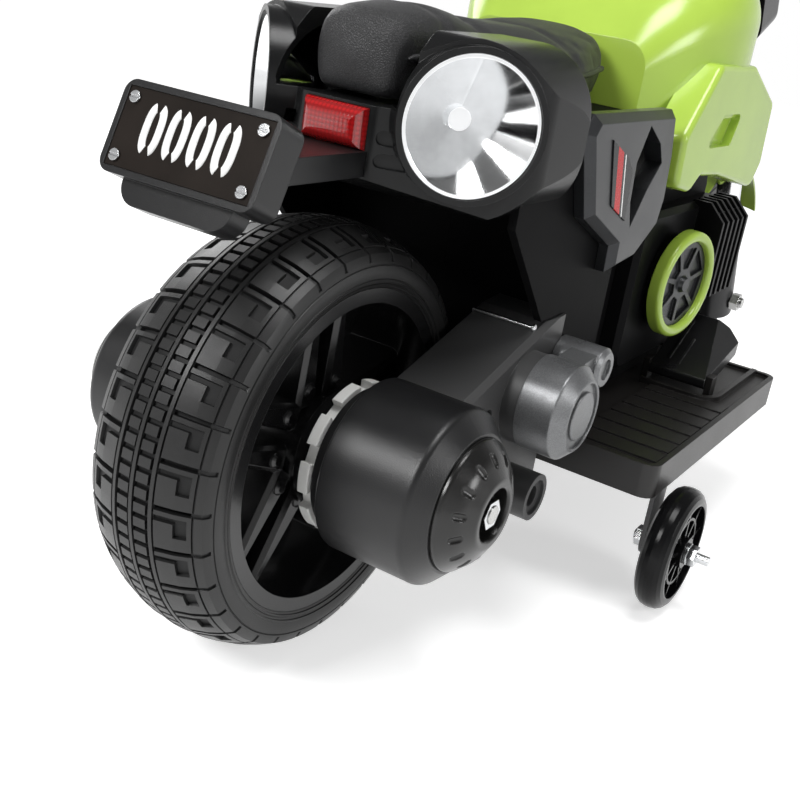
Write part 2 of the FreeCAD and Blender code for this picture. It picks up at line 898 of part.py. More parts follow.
def pivot_cover():
    """A round grey cover with a ring groove, bridged to a smaller one in front of it."""
    back_y = arm_outer_face + cover_seat_rise + fit_gap
    face_y = back_y + cover_depth
    big_r = cover_d / 2
    outline = [(back_y, 0), (back_y, big_r), (face_y - cover_bevel, big_r), (face_y, big_r - cover_bevel),
               (face_y, cover_groove_d / 2), (face_y - cover_groove_depth, cover_groove_d / 2),
               (face_y - cover_groove_depth, cover_boss_d / 2), (face_y, cover_boss_d / 2), (face_y, 0)]
    big_x = ahead(cover_ahead)
    big = turned(outline, [0, 0, edge_round, edge_round, edge_break, 0, 0, edge_break, 0], big_x, cover_z)
    minor_back_y = arm_outer_face + fit_gap
    minor_y = minor_back_y + cover_minor_depth
    minor_r = cover_minor_d / 2
    well_r = cover_minor_well_d / 2
    outline = [(minor_back_y, 0), (minor_back_y, minor_r), (minor_y - cover_minor_bevel, minor_r),
               (minor_y, minor_r - cover_minor_bevel), (minor_y, well_r),
               (minor_y - cover_groove_depth, well_r), (minor_y - cover_groove_depth, 0)]
    minor_x = ahead(cover_minor_ahead)
    minor = turned(outline, [0, 0, edge_break, edge_break, 0, 0, 0], minor_x, cover_minor_z)
    rise = cover_bridge_height_share
    bridge = slab([(big_x, cover_z + rise * big_r), (minor_x, cover_minor_z + rise * minor_r),
                   (minor_x, cover_minor_z - rise * minor_r), (big_x, cover_z - rise * minor_r)], 0,
                  back_y, back_y + cover_bridge_depth)
    return fused([big, minor, bridge])


# Body

def body_rear_outline(inset):
    """Side outline of the wide rear of the body, drawn in by a wall."""
    step = ahead(body_step_ahead)
    low = board_top + fit_gap
    return [(ahead(body_rear_ahead) + inset, haunch_low_z), (ahead(haunch_foot_ahead), arm_top + fit_gap),
            (ahead(bulkhead_ahead), arm_top + fit_gap), (ahead(bulkhead_ahead), low),
            (step - inset, low), (step - inset, deck_z), (ahead(body_rear_ahead) + inset, deck_z)]


def body_front_outline(inset):
    """Side outline of the narrow engine part of the body, drawn in by a wall."""
    start = ahead(body_step_ahead) - weld - inset
    low = board_top + fit_gap + inset
    high = deck_z - inset
    return [(start, low), (ahead(throat_ahead) - inset, low), (ahead(chest_ahead) - inset, chest_knee_z),
            (ahead(chest_ahead) - inset, chest_z), (ahead(throat_ahead) - inset, high), (start, high)]


def steering_nose(grow):
    """The block round the steering head, in the steering frame, grown all round by a gap."""
    return steered(block(-head_back - grow, head_front + grow, -head_half_width - grow,
                         head_half_width + grow,
                         -head_half_length - grow, head_half_length + grow))


def pipe_shape(diameter, start, end):
    """A round bar along the left pipe end's axis, measured outward from its mouth."""
    outward = vec(-math.sin(math.radians(pipe_yaw)), math.cos(math.radians(pipe_yaw)), 0)
    mouth = vec(ahead(pipe_ahead), pipe_y, pipe_z)
    return rod(diameter, mouth + outward * start, mouth + outward * end)


def body_shells():
    """The two half shells of the body: left and right, meeting on the middle plane."""
    rear = slab(body_rear_outline(0), 0, -body_half_width, body_half_width)
    front = slab(body_front_outline(0), 0, -engine_half_width, engine_half_width)
    body = fused([rear, front, steering_nose(0)])
    wall = body_wall
    arch_front = ahead(arch_front_ahead)
    arch = block(rear_x - overrun, arch_front, -arch_half_width, arch_half_width, 0, arch_top)
    under_seat = block(arch_front + wall, ahead(body_step_ahead) - wall, -body_half_width + wall,
                       body_half_width - wall, board_top + fit_gap + wall, deck_z - wall)
    over_arch = block(ahead(body_rear_ahead) + wall, arch_front - wall, -body_half_width + wall,
                      body_half_width - wall, arch_top + wall, deck_z - wall)
    engine_room = slab(body_front_outline(wall), 0, -engine_half_width + wall, engine_half_width - wall)
    head_bore = steered(rod(stem_d + 2 * running_gap, vec(0, 0, -head_half_length - overrun),
                            vec(0, 0, head_half_length + overrun)))
    pipe_space = both_sides(pipe_shape(pipe_d + 2 * fit_gap, -pipe_depth - overrun, pipe_collar_rise))
    socket_hole = rod(socket_d + 2 * fit_gap, vec(ahead(socket_ahead), 0, socket_z),
                      vec(ahead(socket_ahead), body_half_width + overrun, socket_z))
    body = body.cut([arch, under_seat, over_arch, engine_room, head_bore, pipe_space, socket_hole])
    reach = wheelbase
    left = body.common(block(-reach, reach, 0, reach, 0, reach))
    right = body.common(block(-reach, reach, -reach, 0, 0, reach))
    return left, right


def footboard():
    """A ribbed platform with a raised rim, hollow below, with pads for the straps and ears for the pedal."""
    rear = ahead(board_rear_ahead)
    front = ahead(board_front_ahead)

    def outline(inset):
        half = board_half_width - inset
        return [(rear + inset, -half), (front - inset, -half), (front - inset, half), (rear + inset, half)]

    board = plate(outline(0), board_corner, board_bottom, board_top)
    hollow = plate(outline(board_wall), board_corner - board_wall, board_bottom - overrun,
                   board_top - board_wall)
    rim_ring = plate(outline(0), board_corner, board_top, board_top + board_rim_height)
    rim_hole = plate(outline(board_rim_width), board_corner - board_rim_width, board_top - overrun,
                     board_top + board_rim_height + overrun)
    body_foot = block(rear - overrun, ahead(body_step_ahead) + fit_gap, -body_half_width - fit_gap,
                      body_half_width + fit_gap, board_top, board_top + board_rim_height + overrun)
    pieces = [board.cut(hollow), rim_ring.cut([rim_hole, body_foot])]
    rib_end = board_half_width - board_rim_width - rib_height
    for side in (-1, 1):
        last = front if side > 0 else ahead(pedal_rear_ahead)
        rows = int((last - rear - 2 * rib_margin) / rib_pitch) + 1
        for i in range(rows):
            x = rear + rib_margin + i * rib_pitch
            inner = side * rib_inner_y
            outer = side * rib_end
            pieces.append(block(x, x + rib_width, min(inner, outer), max(inner, outer),
                                board_top - weld, board_top + rib_height))
    strap_x = ahead(trainer_ahead)
    pad = block(strap_x - strap_width / 2, strap_x + strap_width / 2, strap_inner_y, strap_outer_y,
                board_bottom, board_top - weld)
    pieces.extend([pad, mirrored(pad)])
    pieces.append(pedal_tray())
    pivot_x = ahead(pedal_pivot_ahead)
    ear_inner = pedal_outer_y + clearance
    for y0 in (-ear_inner - pedal_ear_thick, -pedal_inner_y + clearance):
        pieces.append(block(pivot_x - pedal_ear_width / 2, pivot_x + pedal_ear_width / 2, y0,
                            y0 + pedal_ear_thick, board_top - weld, pedal_ear_top))
    pin_bore = rod(pedal_pin_d + 2 * running_gap, vec(pivot_x, -ear_inner - pedal_pin_reach - fit_gap,
                                                      pedal_pivot_z),
                   vec(pivot_x, -pedal_inner_y + clearance + pedal_pin_reach + fit_gap, pedal_pivot_z))
    bolt_holes = [strap_bolt_hole(side * y) for side in (-1, 1) for y in strap_bolt_places()]
    return fused(pieces).cut([pin_bore] + bolt_holes)


def pedal_tray():
    """A moulded kerb on the board round the back and the outer side of the pedal."""

    def outline(gap):
        rear = ahead(pedal_rear_ahead) - gap
        front = ahead(board_front_ahead) - board_rim_width
        outer = -pedal_outer_y - gap
        return [(rear, -rib_inner_y + tray_gap), (front, -rib_inner_y + tray_gap), (front, outer),
                (rear, outer)]

    kerb = plate(outline(tray_gap + tray_width), [0, 0, 0, tray_corner + tray_width], board_top - weld,
                 board_top + tray_height)
    room = plate(outline(tray_gap), [0, 0, 0, tray_corner], board_top - overrun,
                 board_top + tray_height + overrun)
    return kerb.cut(room)


def accelerator_pedal():
    """A faceted wedge that a foot presses down at its front, on moulded pins at its heel."""
    rear = ahead(pedal_rear_ahead)
    front = ahead(pedal_front_ahead)
    crest = rear + pedal_crest_share * (front - rear)
    toe_lip_z = pedal_toe_z + pedal_lip_share * (pedal_toe_top_z - pedal_toe_z)
    outline = [(rear, pedal_heel_z), (ahead(pedal_pivot_ahead) + pedal_pin_d, pedal_heel_z),
               (front, pedal_toe_z),
               (front, toe_lip_z), (crest, pedal_toe_top_z), (rear, pedal_heel_top_z)]
    wedge = slab(outline, pedal_round, -pedal_outer_y, -pedal_inner_y)
    wide = pedal_outer_y - pedal_inner_y
    heel = vec(rear, -pedal_outer_y, pedal_heel_top_z)
    ridge = vec(crest, -pedal_inner_y - pedal_facet_share * wide, pedal_toe_top_z)
    edge = vec(crest, -pedal_outer_y, pedal_toe_top_z - pedal_facet_drop)
    middle = (heel + ridge + edge) / 3
    corners = [middle + (corner - middle) * overrun for corner in (heel, ridge, edge)]
    outward = (edge - heel).cross(ridge - heel).normalize()
    facet = Part.Face(Part.makePolygon(corners + corners[:1])).extrude(outward * wide)
    pieces = [wedge.cut(facet)]
    run = crest - rear
    slope = (pedal_toe_top_z - pedal_heel_top_z) / run
    for across, near, far in pedal_rib_places_shares:
        y = -pedal_inner_y - across * wide
        near_z = pedal_heel_top_z + near * run * slope
        far_z = pedal_heel_top_z + far * run * slope
        outline = [(rear + near * run, near_z - pedal_rib_width), (rear + far * run, far_z - pedal_rib_width),
                   (rear + far * run, far_z + pedal_rib_height),
                   (rear + near * run, near_z + pedal_rib_height)]
        pieces.append(slab(outline, 0, y - pedal_rib_width, y))
    pin_reach = clearance + pedal_pin_reach
    pieces.append(rod(pedal_pin_d, vec(ahead(pedal_pivot_ahead), -pedal_outer_y - pin_reach, pedal_pivot_z),
                      vec(ahead(pedal_pivot_ahead), -pedal_inner_y + pin_reach, pedal_pivot_z)))
    return fused(pieces)


def pedal_switch():
    """A small switch box with a plunger, on the board under the pedal's toe."""
    x = ahead(switch_box_ahead)
    middle_y = -(pedal_inner_y + pedal_outer_y) / 2
    base_z = board_top + fit_gap
    box = block(x, x + switch_box_length, middle_y - switch_box_width / 2, middle_y + switch_box_width / 2,
                base_z, base_z + switch_box_height)
    middle = vec(x + switch_box_length / 2, middle_y, base_z)
    tip = middle + vec(0, 0, switch_box_height + switch_plunger_rise)
    return box.fuse(rod(switch_plunger_d, middle, tip))


# Training wheels

def strap_bolt_places():
    """How far out from the middle plane the two bolts of a strap stand."""
    middle = (strap_inner_y + strap_outer_y) / 2
    return [middle - strap_bolt_spacing / 2, middle + strap_bolt_spacing / 2]


def strap_bolt_hole(y):
    """The hole of one strap bolt through the strap and the board's pad."""
    x = ahead(trainer_ahead)
    return rod(trainer_bolt_d + 2 * fit_gap, vec(x, y, board_bottom - strap_thick - overrun),
               vec(x, y, board_top - board_wall - weld))


def training_bracket():
    """A flat steel strap bent down at the edge of the board, with a round foot for the wheel bolt."""
    x = ahead(trainer_ahead)
    top = board_bottom - fit_gap
    half = strap_width / 2
    flat = block(x - half, x + half, strap_inner_y, strap_outer_y, top - strap_thick, top)
    inner = strap_outer_y - strap_thick
    upright = block(x - half, x + half, inner, strap_outer_y, trainer_z, top)
    foot = rod(strap_width, vec(x, inner, trainer_z), vec(x, strap_outer_y, trainer_z))
    strap = fused([flat, upright, foot])
    bend = [e for e in strap.Edges if e.BoundBox.XLength > strap_width - weld
            and e.CenterOfMass.z > top - fit_gap and e.CenterOfMass.y > strap_outer_y - fit_gap]
    strap = strap.makeFillet(strap_thick - fit_gap, bend)
    holes = [strap_bolt_hole(y) for y in strap_bolt_places()]
    holes.append(rod(trainer_bolt_d + 2 * fit_gap, vec(x, inner - overrun, trainer_z),
                     vec(x, strap_outer_y + overrun, trainer_z)))
    return strap.cut(holes)


def training_wheel():
    """A small moulded wheel with a crowned tread, its thin web stiffened by ribs and a ring."""
    x = ahead(trainer_ahead)
    tread_y = trainer_width / 2
    crest_y = trainer_crest_width / 2
    hub_y = trainer_hub_width / 2
    web_y = trainer_web / 2
    rib_y = tread_y - trainer_rib_sink
    tread_r = trainer_od / 2
    shoulder_r = tread_r - trainer_crown_height
    rim_r = tread_r - trainer_tread_height
    hub_r = trainer_hub_d / 2
    bore_r = trainer_bolt_d / 2 + running_gap
    half = [(hub_y, bore_r), (hub_y, hub_r), (web_y, hub_r), (web_y, rim_r), (tread_y, rim_r)]
    for i in range(trainer_crown_bands + 1):
        turn = math.radians(90 / trainer_crown_bands * i)
        half.append((crest_y + (tread_y - crest_y) * math.cos(turn),
                     shoulder_r + trainer_crown_height * math.sin(turn)))
    outline = half + [(-y, r) for y, r in reversed(half)]
    wheel = turned([(trainer_y + y, r) for y, r in outline], 0, x, trainer_z)
    ring_r = hub_r + trainer_ring_share * (rim_r - hub_r)
    ring = [(-rib_y, ring_r), (rib_y, ring_r), (rib_y, ring_r + trainer_rib_thick),
            (-rib_y, ring_r + trainer_rib_thick)]
    pieces = [wheel, turned([(trainer_y + y, r) for y, r in ring], 0, x, trainer_z)]
    half_rib = trainer_rib_thick / 2
    for i in range(trainer_ribs):
        rib = block(x - half_rib, x + half_rib, trainer_y - rib_y, trainer_y + rib_y,
                    trainer_z + hub_r - half_rib, trainer_z + rim_r + half_rib)
        rib.rotate(vec(x, 0, trainer_z), vec(0, 1, 0), 360 / trainer_ribs * i)
        pieces.append(rib)
    return fused(pieces)


def training_bolts():
    """The wheel bolt with its nuts, washer and spacer, and the two bolts of one strap."""
    x = ahead(trainer_ahead)
    inner = strap_outer_y - strap_thick
    start = inner - fit_gap - trainer_nut_thick
    hub_out = trainer_y + trainer_hub_width / 2 + clearance
    hub_in = trainer_y - trainer_hub_width / 2 - clearance
    washer_end = hub_out + trainer_washer_thick
    pieces = [
        rod(trainer_bolt_d, vec(x, start - weld, trainer_z), vec(x, start + trainer_bolt_length, trainer_z)),
        hexagon(trainer_nut_flats, x, trainer_z, start, inner - fit_gap),
        rod(trainer_spacer_d, vec(x, strap_outer_y + fit_gap, trainer_z), vec(x, hub_in, trainer_z)),
        rod(trainer_washer_d, vec(x, hub_out, trainer_z), vec(x, washer_end, trainer_z)),
        hexagon(trainer_nut_flats, x, trainer_z, washer_end, washer_end + trainer_nut_thick),
    ]
    bolts = [fused(pieces)]
    head_top = board_bottom - fit_gap - strap_thick - fit_gap
    for y in strap_bolt_places():
        shank = rod(trainer_bolt_d, vec(x, y, head_top - weld), vec(x, y, board_top - board_wall - 2 * weld))
        head = hexagon(trainer_nut_flats, 0, 0, 0, trainer_nut_thick)
        head.rotate(vec(0, 0, 0), vec(1, 0, 0), -90)
        head.translate(vec(x, y, head_top))
        bolts.append(shank.fuse(head))
    return bolts


# Tail

def tail_cowl():
    """The tail moulding: slanted rear faces with vents, collars for the pipe ends and a seat trough."""
    rear = ahead(cowl_rear_ahead)
    shoulder = ahead(cowl_shoulder_ahead)
    front = ahead(cowl_front_ahead)
    half = [(rear, cowl_rear_half_width), (shoulder, cowl_shoulder_half_width),
            (front, cowl_front_half_width)]
    plan = half + [(x, -y) for x, y in reversed(half)]
    cowl = plate(plan, [cowl_round, cowl_shoulder_round, 0, 0, cowl_shoulder_round, cowl_round], 0,
                 cowl_top + overrun)
    side = [(rear - overrun, cowl_rear_bottom), (ahead(body_rear_ahead), cowl_bottom),
            (front + overrun, cowl_bottom),
            (front + overrun, cowl_top), (ahead(cowl_crest_ahead), cowl_top), (rear - overrun, cowl_rear_top)]
    cowl = cowl.common(slab(side, [0, 0, 0, 0, cowl_round, 0], -2 * body_half_width, 2 * body_half_width))
    wide = cowl_front_half_width
    section = [(-wide, cowl_bottom), (wide, cowl_bottom), (wide, cowl_top), (-wide, cowl_top)]
    flanks = rounded_face([vec(rear - overrun, y, z) for y, z in section], cowl_flank_round)
    cowl = cowl.common(flanks.extrude(vec(front - rear + 2 * overrun, 0, 0)))
    collar_d = pipe_d + 2 * fit_gap + 2 * pipe_collar_wall
    collar = pipe_shape(collar_d, -pipe_collar_seat, pipe_collar_rise)
    cowl = fused([cowl, collar, mirrored(collar)])
    body_space = block(ahead(body_rear_ahead) - fit_gap, front + overrun, -body_half_width - fit_gap,
                       body_half_width + fit_gap, 0, deck_z + fit_gap)
    trough = block(rear - overrun, front + overrun, -trough_half_width, trough_half_width,
                   deck_z + fit_gap, cowl_top + 2 * overrun)
    pipe_space = both_sides(pipe_shape(pipe_d + 2 * fit_gap, -pipe_depth - overrun,
                                       pipe_collar_rise + overrun))
    lamp_space = block(rear - overrun, rear + lamp_seat, -lamp_half_width - fit_gap,
                       lamp_half_width + fit_gap,
                       lamp_bottom - fit_gap, lamp_bottom + lamp_height + fit_gap)
    cuts = [body_space, trough, pipe_space, lamp_space]
    slant = math.degrees(math.atan2(cowl_shoulder_half_width - cowl_rear_half_width, shoulder - rear))
    for i in range(vent_rows):
        low = vent_low_z + i * vent_pitch
        vent = slab([(vent_start, low), (vent_start + vent_length, low),
                     (vent_start + vent_length, low + vent_height),
                     (vent_start, low + vent_height)], vent_height / 2, -vent_depth, overrun)
        vent.rotate(vec(0, 0, 0), vec(0, 0, 1), slant)
        vent.translate(vec(rear, cowl_rear_half_width, 0))
        cuts.extend([vent, mirrored(vent)])
    return cowl.cut(cuts)


def tail_lamp():
    """A red lens set in the back of the cowl."""
    rear = ahead(cowl_rear_ahead)
    lens = block(rear + lamp_seat - fit_gap - lamp_depth, rear + lamp_seat - fit_gap, -lamp_half_width,
                 lamp_half_width, lamp_bottom, lamp_bottom + lamp_height)
    outer = edges_where(lens, lambda c: c.x < rear + lamp_seat - lamp_depth)
    return lens.makeFillet(lamp_round, outer)


def pipe_end():
    """A bright dished pipe end on the left of the tail: a thin cone with a flat throat."""
    mouth_r = pipe_d / 2
    throat_r = pipe_throat_d / 2
    rim_y = pipe_collar_rise - weld
    outline = [(rim_y, mouth_r), (rim_y, mouth_r - pipe_wall),
               (-pipe_depth + pipe_wall, throat_r - pipe_wall),
               (-pipe_depth + pipe_wall, 0), (-pipe_depth, 0), (-pipe_depth, throat_r), (0, mouth_r)]
    cone = turned(outline, 0, 0, 0)
    cone.rotate(vec(0, 0, 0), vec(0, 0, 1), pipe_yaw)
    cone.translate(vec(ahead(pipe_ahead), pipe_y, pipe_z))
    return cone


def tilted_to_plate(shape):
    """Lean a shape built upright at the origin to the plate's slope and carry it to its place."""
    shape.rotate(vec(0, 0, 0), vec(0, 1, 0), plate_tilt)
    shape.translate(vec(ahead(-plate_behind), 0, plate_low_z))
    return shape


def plate_screw_places():
    """The four screw centres on the plate."""
    y = plate_width / 2 - plate_screw_inset
    return [(side * y, z) for side in (-1, 1) for z in (plate_screw_inset, plate_height - plate_screw_inset)]


def plate_holder():
    """A boxed holder with a lip below, on an arm from the back of the cowl."""
    half = plate_width / 2 + holder_border
    frame = block(-holder_recess, holder_depth, -half, half, -holder_border, plate_height + holder_border)
    frame = frame.makeFillet(holder_round, [e for e in frame.Edges if e.BoundBox.XLength > holder_depth / 2])
    recess = block(-holder_recess - overrun, fit_gap, -plate_width / 2 - fit_gap, plate_width / 2 + fit_gap,
                   -fit_gap, plate_height + fit_gap)
    tab = block(holder_depth - holder_tab_thick, holder_depth, -holder_tab_width / 2, holder_tab_width / 2,
                -holder_border - holder_tab_drop, 0)
    tab = tab.makeFillet(holder_tab_round, [e for e in tab.Edges if e.BoundBox.XLength > holder_tab_thick / 2
                                            and e.CenterOfMass.z < -holder_border])
    holes = [Part.makeCylinder(plate_screw_shank_d / 2 + fit_gap, plate_screw_shank + overrun,
                               vec(-overrun, y, z),
                               vec(1, 0, 0)) for y, z in plate_screw_places()]
    box = tilted_to_plate(fused([frame, tab]).cut([recess] + holes))
    arm_top = (cowl_rear_bottom + lamp_bottom) / 2 + holder_arm_thick / 2
    lean = math.tan(math.radians(plate_tilt))
    start = ahead(-plate_behind) + holder_depth / 2 + (arm_top - plate_low_z) * lean
    arm = block(start, ahead(cowl_rear_ahead) - fit_gap, -holder_arm_width / 2, holder_arm_width / 2,
                arm_top - holder_arm_thick, arm_top)
    return fused([box, arm])


def number_plate():
    """A thin flat plate in the holder."""
    sheet = block(-plate_thick, 0, -plate_width / 2, plate_width / 2, 0, plate_height)
    holes = [Part.makeCylinder(plate_screw_shank_d / 2 + fit_gap, plate_thick + 2 * overrun,
                               vec(-overrun, y, z),
                               vec(1, 0, 0)) for y, z in plate_screw_places()]
    return tilted_to_plate(sheet.cut(holes))


def plate_screws():
    """Four slotted round-head screws."""
    screws = []
    for y, z in plate_screw_places():
        head_x = -plate_thick - fit_gap
        head = Part.makeCylinder(plate_screw_d / 2, plate_screw_rise, vec(head_x - plate_screw_rise, y, z),
                                 vec(1, 0, 0))
        shank = Part.makeCylinder(plate_screw_shank_d / 2, plate_screw_shank,
                                  vec(head_x - plate_screw_root, y, z), vec(1, 0, 0))
        slot = block(head_x - 2 * plate_screw_rise, head_x - plate_screw_rise / 2, y - plate_screw_d,
                     y + plate_screw_d,
                     z - plate_screw_slot / 2, z + plate_screw_slot / 2)
        screws.append(tilted_to_plate(head.fuse(shank).cut(slot)))
    return Part.makeCompound(screws)


# Side panels, tank and seat

def panel_places(shares):
    """Places on the side panel from shares of its length and height."""
    return spread(shares, ahead(panel_rear_ahead), ahead(panel_front_ahead), panel_bottom, panel_top)


def side_panel():
    """A V-shaped panel with a bevelled edge, a window and a slot for its insert."""
    inner = body_half_width + fit_gap
    panel = slab(panel_places(panel_outline_shares), 0, inner, panel_outer_y)
    panel = panel.makeChamfer(panel_bevel, edges_where(panel, lambda c: c.y > panel_outer_y - fit_gap))
    window = slab(panel_places(panel_window_shares), 0, inner - overrun, panel_outer_y + overrun)
    slot = slab(panel_places(panel_slot_shares), 0, panel_outer_y - panel_slot_depth, panel_outer_y + overrun)
    return panel.cut([window, slot])


def side_insert():
    """A coloured insert that fills the slot of a side panel."""
    floor = panel_outer_y - panel_slot_depth + fit_gap
    shape = slab(panel_places(panel_slot_shares), 0, floor, panel_outer_y + insert_proud)
    middle = shape.CenterOfMass
    shrink = 1 - 2 * fit_gap / shape.BoundBox.XLength
    matrix = FreeCAD.Matrix()
    matrix.scale(shrink, 1, shrink)
    shape.translate(vec(-middle.x, 0, -middle.z))
    shape = shape.transformGeometry(matrix)
    shape.translate(vec(middle.x, 0, middle.z))
    return shape


def tank_cover():
    """The rounded tank cover with a wing down each side, hollow below and pocketed for the dash."""
    low = deck_z + fit_gap
    sections = []
    for share, wide, high in zip(tank_station_shares, tank_width_shares, tank_height_shares):
        x = ahead(tank_rear_ahead + share * tank_length)
        half = tank_half_width * wide
        top = low + tank_height * high
        corner = tank_height * high * tank_round_share
        points = [vec(x, y, z) for y, z in ((-half, low), (half, low), (half, top), (-half, top))]
        sections.append(rounded_face(points, [weld, weld, corner, corner]).OuterWire)
    tank = Part.makeLoft(sections, True)
    wing_places = spread(wing_outline_shares, ahead(tank_rear_ahead), ahead(wing_front_ahead), wing_bottom,
                         wing_top)
    wing = slab(wing_places, wing_round, wing_inner_y, wing_outer_y)
    wing = wing.makeFillet(wing_round / 2, edges_where(wing, lambda c: c.y > wing_outer_y - fit_gap))
    window_places = spread(wing_window_shares, ahead(tank_rear_ahead), ahead(wing_front_ahead),
                           wing_bottom, wing_top)
    window = slab(window_places, wing_round / 2, wing_outer_y - wing_window_depth, wing_outer_y + overrun)
    wing = wing.cut(window)
    tank = fused([tank, wing, mirrored(wing)])
    cavity = block(ahead(tank_rear_ahead + tank_cavity_inset), ahead(wing_front_ahead),
                   -tank_cavity_half_width,
                   tank_cavity_half_width, 0, low + tank_cavity_height)
    dash_space = dash_block(fit_gap)
    return tank.cut([cavity, steering_nose(fit_gap), dash_space])


def dash_floor():
    """Height of the flat that the dash stands on."""
    return deck_z + fit_gap + tank_height - dash_sink


def dash_block(grow):
    """The outline of the dash panel, grown by a gap."""
    x0 = ahead(dash_ahead) - grow
    x1 = ahead(dash_ahead) + dash_length + grow
    half = dash_half_width + grow
    low = dash_floor() - grow
    return plate([(x0, -half), (x1, -half), (x1, half), (x0, half)], dash_round + grow, low,
                 low + 2 * dash_thick)


def rocker_place(side):
    """The pivot of a rocker switch, at the left or right of the dash."""
    x = ahead(dash_ahead) + rocker_ahead_share * dash_length
    z = dash_floor() + dash_thick - rocker_height / 2 + rocker_rise
    return vec(x, side * rocker_y, z)


def rocker(side):
    """A rocker with two sloped faces on a cross-wise pin."""
    pivot = rocker_place(side)
    half = rocker_length / 2
    low = pivot.z - rocker_height / 2
    high = pivot.z + rocker_height / 2
    outline = [(pivot.x - half, low), (pivot.x + half, low), (pivot.x + half, high),
               (pivot.x, high - rocker_rise),
               (pivot.x - half, high)]
    body = slab(outline, 0, pivot.y - rocker_width / 2, pivot.y + rocker_width / 2)
    pin_half = rocker_width / 2 + rocker_pin_reach
    return body.fuse(rod(rocker_pin_d, pivot - vec(0, pin_half, 0), pivot + vec(0, pin_half, 0)))


def horn_place():
    """The middle of the horn button, on top of the dash."""
    return vec(ahead(dash_ahead) + horn_ahead_share * dash_length, 0, dash_floor() + dash_thick)


def horn_button():
    """A round button with a foot that keeps it in the dash."""
    top = horn_place()
    foot_z = dash_floor() + horn_travel + clearance
    stem = rod(horn_d, vec(top.x, top.y, foot_z), top + vec(0, 0, horn_rise))
    foot = rod(horn_d + 2 * horn_foot, vec(top.x, top.y, foot_z), vec(top.x, top.y, foot_z + horn_foot))
    return stem.fuse(foot)


def dash_panel():
    """A flat control panel with seats for two rockers and a button."""
    low = dash_floor()
    panel = dash_block(0).common(block(-wheelbase, wheelbase, -wheelbase, wheelbase, low, low + dash_thick))
    cuts = []
    for side in (-1, 1):
        pivot = rocker_place(side)
        half = rocker_length / 2 + rocker_end_play
        wide = rocker_width / 2 + clearance
        cuts.append(block(pivot.x - half, pivot.x + half, pivot.y - wide, pivot.y + wide,
                          pivot.z - rocker_height / 2 - rocker_end_play * 2, low + dash_thick + overrun))
        pin_half = rocker_width / 2 + rocker_pin_reach + fit_gap
        cuts.append(rod(rocker_pin_d + 2 * running_gap, pivot - vec(0, pin_half, 0),
                        pivot + vec(0, pin_half, 0)))
    top = horn_place()
    cuts.append(rod(horn_d + 2 * clearance, vec(top.x, 0, low - overrun),
                    vec(top.x, 0, low + dash_thick + overrun)))
    room = low + horn_travel + clearance + horn_foot + clearance
    cuts.append(rod(horn_d + 2 * horn_foot + 2 * clearance, vec(top.x, 0, low - overrun),
                    vec(top.x, 0, room)))
    return panel.cut(cuts)


def seat_section(station, wide, high):
    """One upright section of the cushion: flat foot, sides that swell above it and a crowned top."""
    x = ahead(station)
    half = seat_half_width * wide
    tall = seat_height * high
    low = deck_z + fit_gap + fit_gap
    foot = seat_foot_share * half
    shoulder = seat_shoulder_share * half
    shoulder_z = low + seat_shoulder_height_share * tall
    bulge_z = low + seat_bulge_height_share * tall
    left_foot = vec(x, foot, low)
    right_foot = vec(x, -foot, low)
    left_shoulder = vec(x, shoulder, shoulder_z)
    right_shoulder = vec(x, -shoulder, shoulder_z)
    edges = [
        Part.LineSegment(right_foot, left_foot).toShape(),
        Part.Arc(left_foot, vec(x, half, bulge_z), left_shoulder).toShape(),
        Part.Arc(left_shoulder, vec(x, 0, low + tall), right_shoulder).toShape(),
        Part.Arc(right_shoulder, vec(x, -half, bulge_z), right_foot).toShape(),
    ]
    return Part.Wire(edges)


def seat():
    """A crowned cushion with drawn-in sides and a sewn channel across it at each inner station."""
    stations = zip(seat_station_aheads, seat_width_shares, seat_height_shares)
    cushion = Part.makeLoft([seat_section(*station) for station in stations], True)
    channels = []
    for station, high in list(zip(seat_station_aheads, seat_height_shares))[1:-1]:
        top = deck_z + fit_gap + fit_gap + seat_height * high
        middle_z = top + seat_channel_d / 2 - seat_channel_depth
        channels.append(rod(seat_channel_d, vec(ahead(station), -seat_half_width, middle_z),
                            vec(ahead(station), seat_half_width, middle_z)))
    return cushion.cut(channels)


# Engine

def clutch_shape(shape):
    """Carry a shape turned round the Y axis at the origin to the clutch's yawed place on the left."""
    shape.rotate(vec(0, 0, 0), vec(0, 0, 1), clutch_yaw)
    shape.translate(vec(ahead(clutch_ahead), clutch_y, clutch_z))
    return shape


def engine_block():
    """A case on the side of the body with a boss for the clutch and a stack of cooling fins."""
    inner = engine_half_width + fit_gap
    rear = ahead(case_rear_ahead)
    front = ahead(case_front_ahead)
    case = slab([(rear, case_bottom), (front, case_bottom), (front, case_top), (rear, case_top)], case_round,
                inner, case_face_y)
    case = case.makeChamfer(case_bevel, edges_where(case, lambda c: c.y > case_face_y - fit_gap))
    boss = clutch_shape(turned([(case_face_y - clutch_y - case_bevel - weld, 0),
                                (case_face_y - clutch_y - case_bevel - weld, clutch_boss_d / 2),
                                (0, clutch_boss_d / 2), (0, 0)], 0, 0, 0))
    pieces = [case, boss]
    last = ahead(fin_rear_ahead) + (fin_count - 1) * fin_pitch + fin_thick
    pieces.append(block(ahead(fin_rear_ahead), last, case_face_y - case_bevel - weld,
                        fin_outer_y - fin_core_inset,
                        fin_bottom + fin_core_inset, fin_top - fin_core_inset))
    start_y = case_face_y - case_bevel - weld
    for i in range(fin_count):
        x = ahead(fin_rear_ahead) + i * fin_pitch
        outline = [(start_y, fin_bottom), (fin_outer_y, fin_bottom), (fin_outer_y, fin_top - fin_corner),
                   (fin_outer_y - fin_corner, fin_top), (start_y, fin_top)]
        face = rounded_face([vec(x, y, z) for y, z in outline], 0)
        pieces.append(face.extrude(vec(fin_thick, 0, 0)))
    return fused(pieces)


